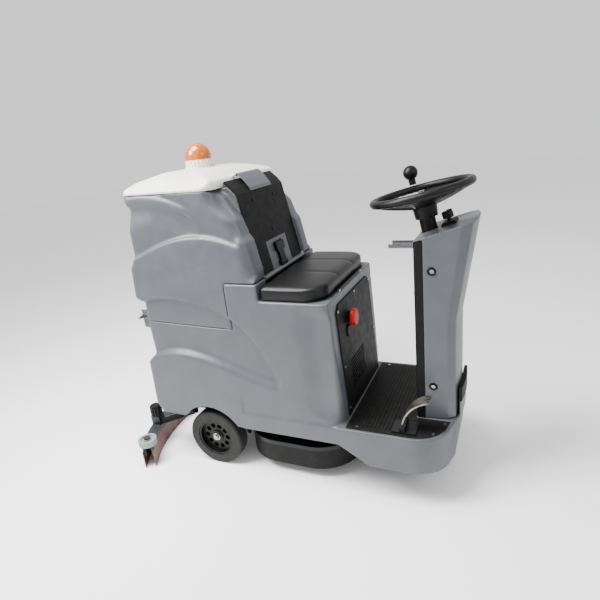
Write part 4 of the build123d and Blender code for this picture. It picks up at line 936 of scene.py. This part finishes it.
spoke_steps = 24
spoke_thickness = 0.007
dish_depth = 0.046
hub_radius = 0.036
spokes = []
for number in range(3):
    middle = math.radians(60 + 120 * number)
    rows = []
    for step in range(spoke_steps + 1):
        share = step / spoke_steps
        radius = hub_radius + share * (rim_radius - hub_radius)
        height = -dish_depth * (1 - share) ** 0.8 - 0.004 * share
        spread = math.radians(36 + 24 * (1 - share) ** 3 + 4 * share ** 6)
        rows.append([wheel_point(radius, middle + spread * turn / 8, height - 0.004 * abs(turn / 8) ** 6)
                     for turn in range(-8, 9)])
    spoke = grid_piece("steering_spoke_" + str(number + 1), rows)
    spoke.modifiers.new("thickness", "SOLIDIFY").thickness = spoke_thickness
    spoke.modifiers["thickness"].offset = 0
    apply_modifiers(spoke)
    spokes.append(spoke)

# The hub's cap is a low dome, left open by a hair at its top
cap_radius = 0.046
cap_rise = 0.016
cap_steps = 12
cap_rows = []
for step in range(cap_steps + 1):
    share = step / cap_steps
    radius = cap_radius * math.cos(share * math.pi / 2) + 1e-4
    height = -dish_depth + 0.006 + cap_rise * math.sin(share * math.pi / 2)
    cap_rows.append([wheel_point(radius, math.radians(10 * turn), height) for turn in range(36)])
cap = grid_piece("steering_cap", cap_rows, close_across=True)
# The boss under the cap is a shell of its own in the CAD node, much narrower than the rim
boss = shells_as_piece("steering_wheel", "steering_boss", lambda width: width < 0.2)
print("boss faces", len(boss.data.polygons))
for piece in (rim, cap, boss, *spokes):
    piece.data.materials.clear()
    piece.data.materials.append(finishes["wheel"])
    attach(piece, "steering")
    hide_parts("steering_wheel")

# %% [markdown]
# ## Suction hose
#
# The real hose is a thin wall on a spiral rib. It is drawn as circles along its route, and their
# radius swells at each rib. The route is a NURBS spline guided by a few chosen points.


# %% Ribbed hose
def ring_tube(name, route, radii, sides=20):
    """A closed tube of circles along a route, each with its own radius."""
    mesh = bmesh.new()
    rings = []
    for index, (place, radius) in enumerate(zip(route, radii)):
        ahead = route[min(index + 1, len(route) - 1)]
        back = route[max(index - 1, 0)]
        direction = (ahead - back).normalized()
        across = Vector((0, 1, 0))
        other = direction.cross(across)
        ring = []
        for step in range(sides):
            angle = 2 * math.pi * step / sides
            outward = math.cos(angle) * across + math.sin(angle) * other
            ring.append(mesh.verts.new(place + radius * outward))
        rings.append(ring)
    for first, second in zip(rings, rings[1:]):
        for step in range(sides):
            after = (step + 1) % sides
            mesh.faces.new((first[step], first[after], second[after], second[step]))
    mesh.faces.new(rings[0])
    mesh.faces.new(list(reversed(rings[-1])))
    bmesh.ops.recalc_face_normals(mesh, faces=mesh.faces)
    return piece_from(mesh, name)


def spline_places(points, resolution):
    """Places read along a NURBS spline guided by the given points."""
    curve = bpy.data.curves.new("hose_route", "CURVE")
    curve.dimensions = "3D"
    curve.resolution_u = resolution
    spline = curve.splines.new("NURBS")
    spline.points.add(len(points) - 1)
    for point, place in zip(spline.points, points):
        point.co = (*place, 1)
    spline.order_u = 3
    spline.use_endpoint_u = True
    holder = bpy.data.objects.new("hose_route", curve)
    bpy.context.scene.collection.objects.link(holder)
    depsgraph = bpy.context.evaluated_depsgraph_get()
    mesh = bpy.data.meshes.new_from_object(holder.evaluated_get(depsgraph))
    places = [vertex.co.copy() for vertex in mesh.vertices]
    bpy.data.objects.remove(holder)
    bpy.data.meshes.remove(mesh)
    return places


# The hose leaves the port upwards, leans forward in one easy bend, and turns up again into its mouth.
hose_low, hose_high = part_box("squeegee_hose")
hose_radius = 0.019
port_x = hose_low.x + hose_radius
mouth_x = hose_high.x - hose_radius
level = hose_low.z + 0.073
ease = 0.034
middle_x = (port_x + mouth_x) / 2
hose_points = [
    (port_x, 0, hose_low.z),
    (port_x, 0, level - ease),
    (port_x, 0, level),
    (port_x + ease, 0, level),
    (middle_x, 0, level),
    (mouth_x - ease, 0, level),
    (mouth_x, 0, level),
    (mouth_x, 0, level + ease),
    (mouth_x, 0, hose_high.z),
]
route = spline_places(hose_points, 24)
print("hose route of", len(route), "places")
travelled = [0.0]
for first, second in zip(route, route[1:]):
    travelled.append(travelled[-1] + (second - first).length)
rib_pitch = 0.0064
rib_height = 0.0012
radii = [hose_radius - rib_height + rib_height * math.cos(2 * math.pi * length / rib_pitch)
         for length in travelled]
hose = ring_tube("ribbed_suction_hose", route, radii)
finish_moulding(hose, "squeegee_hose", finishes["hose"])
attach(hose, "squeegee")
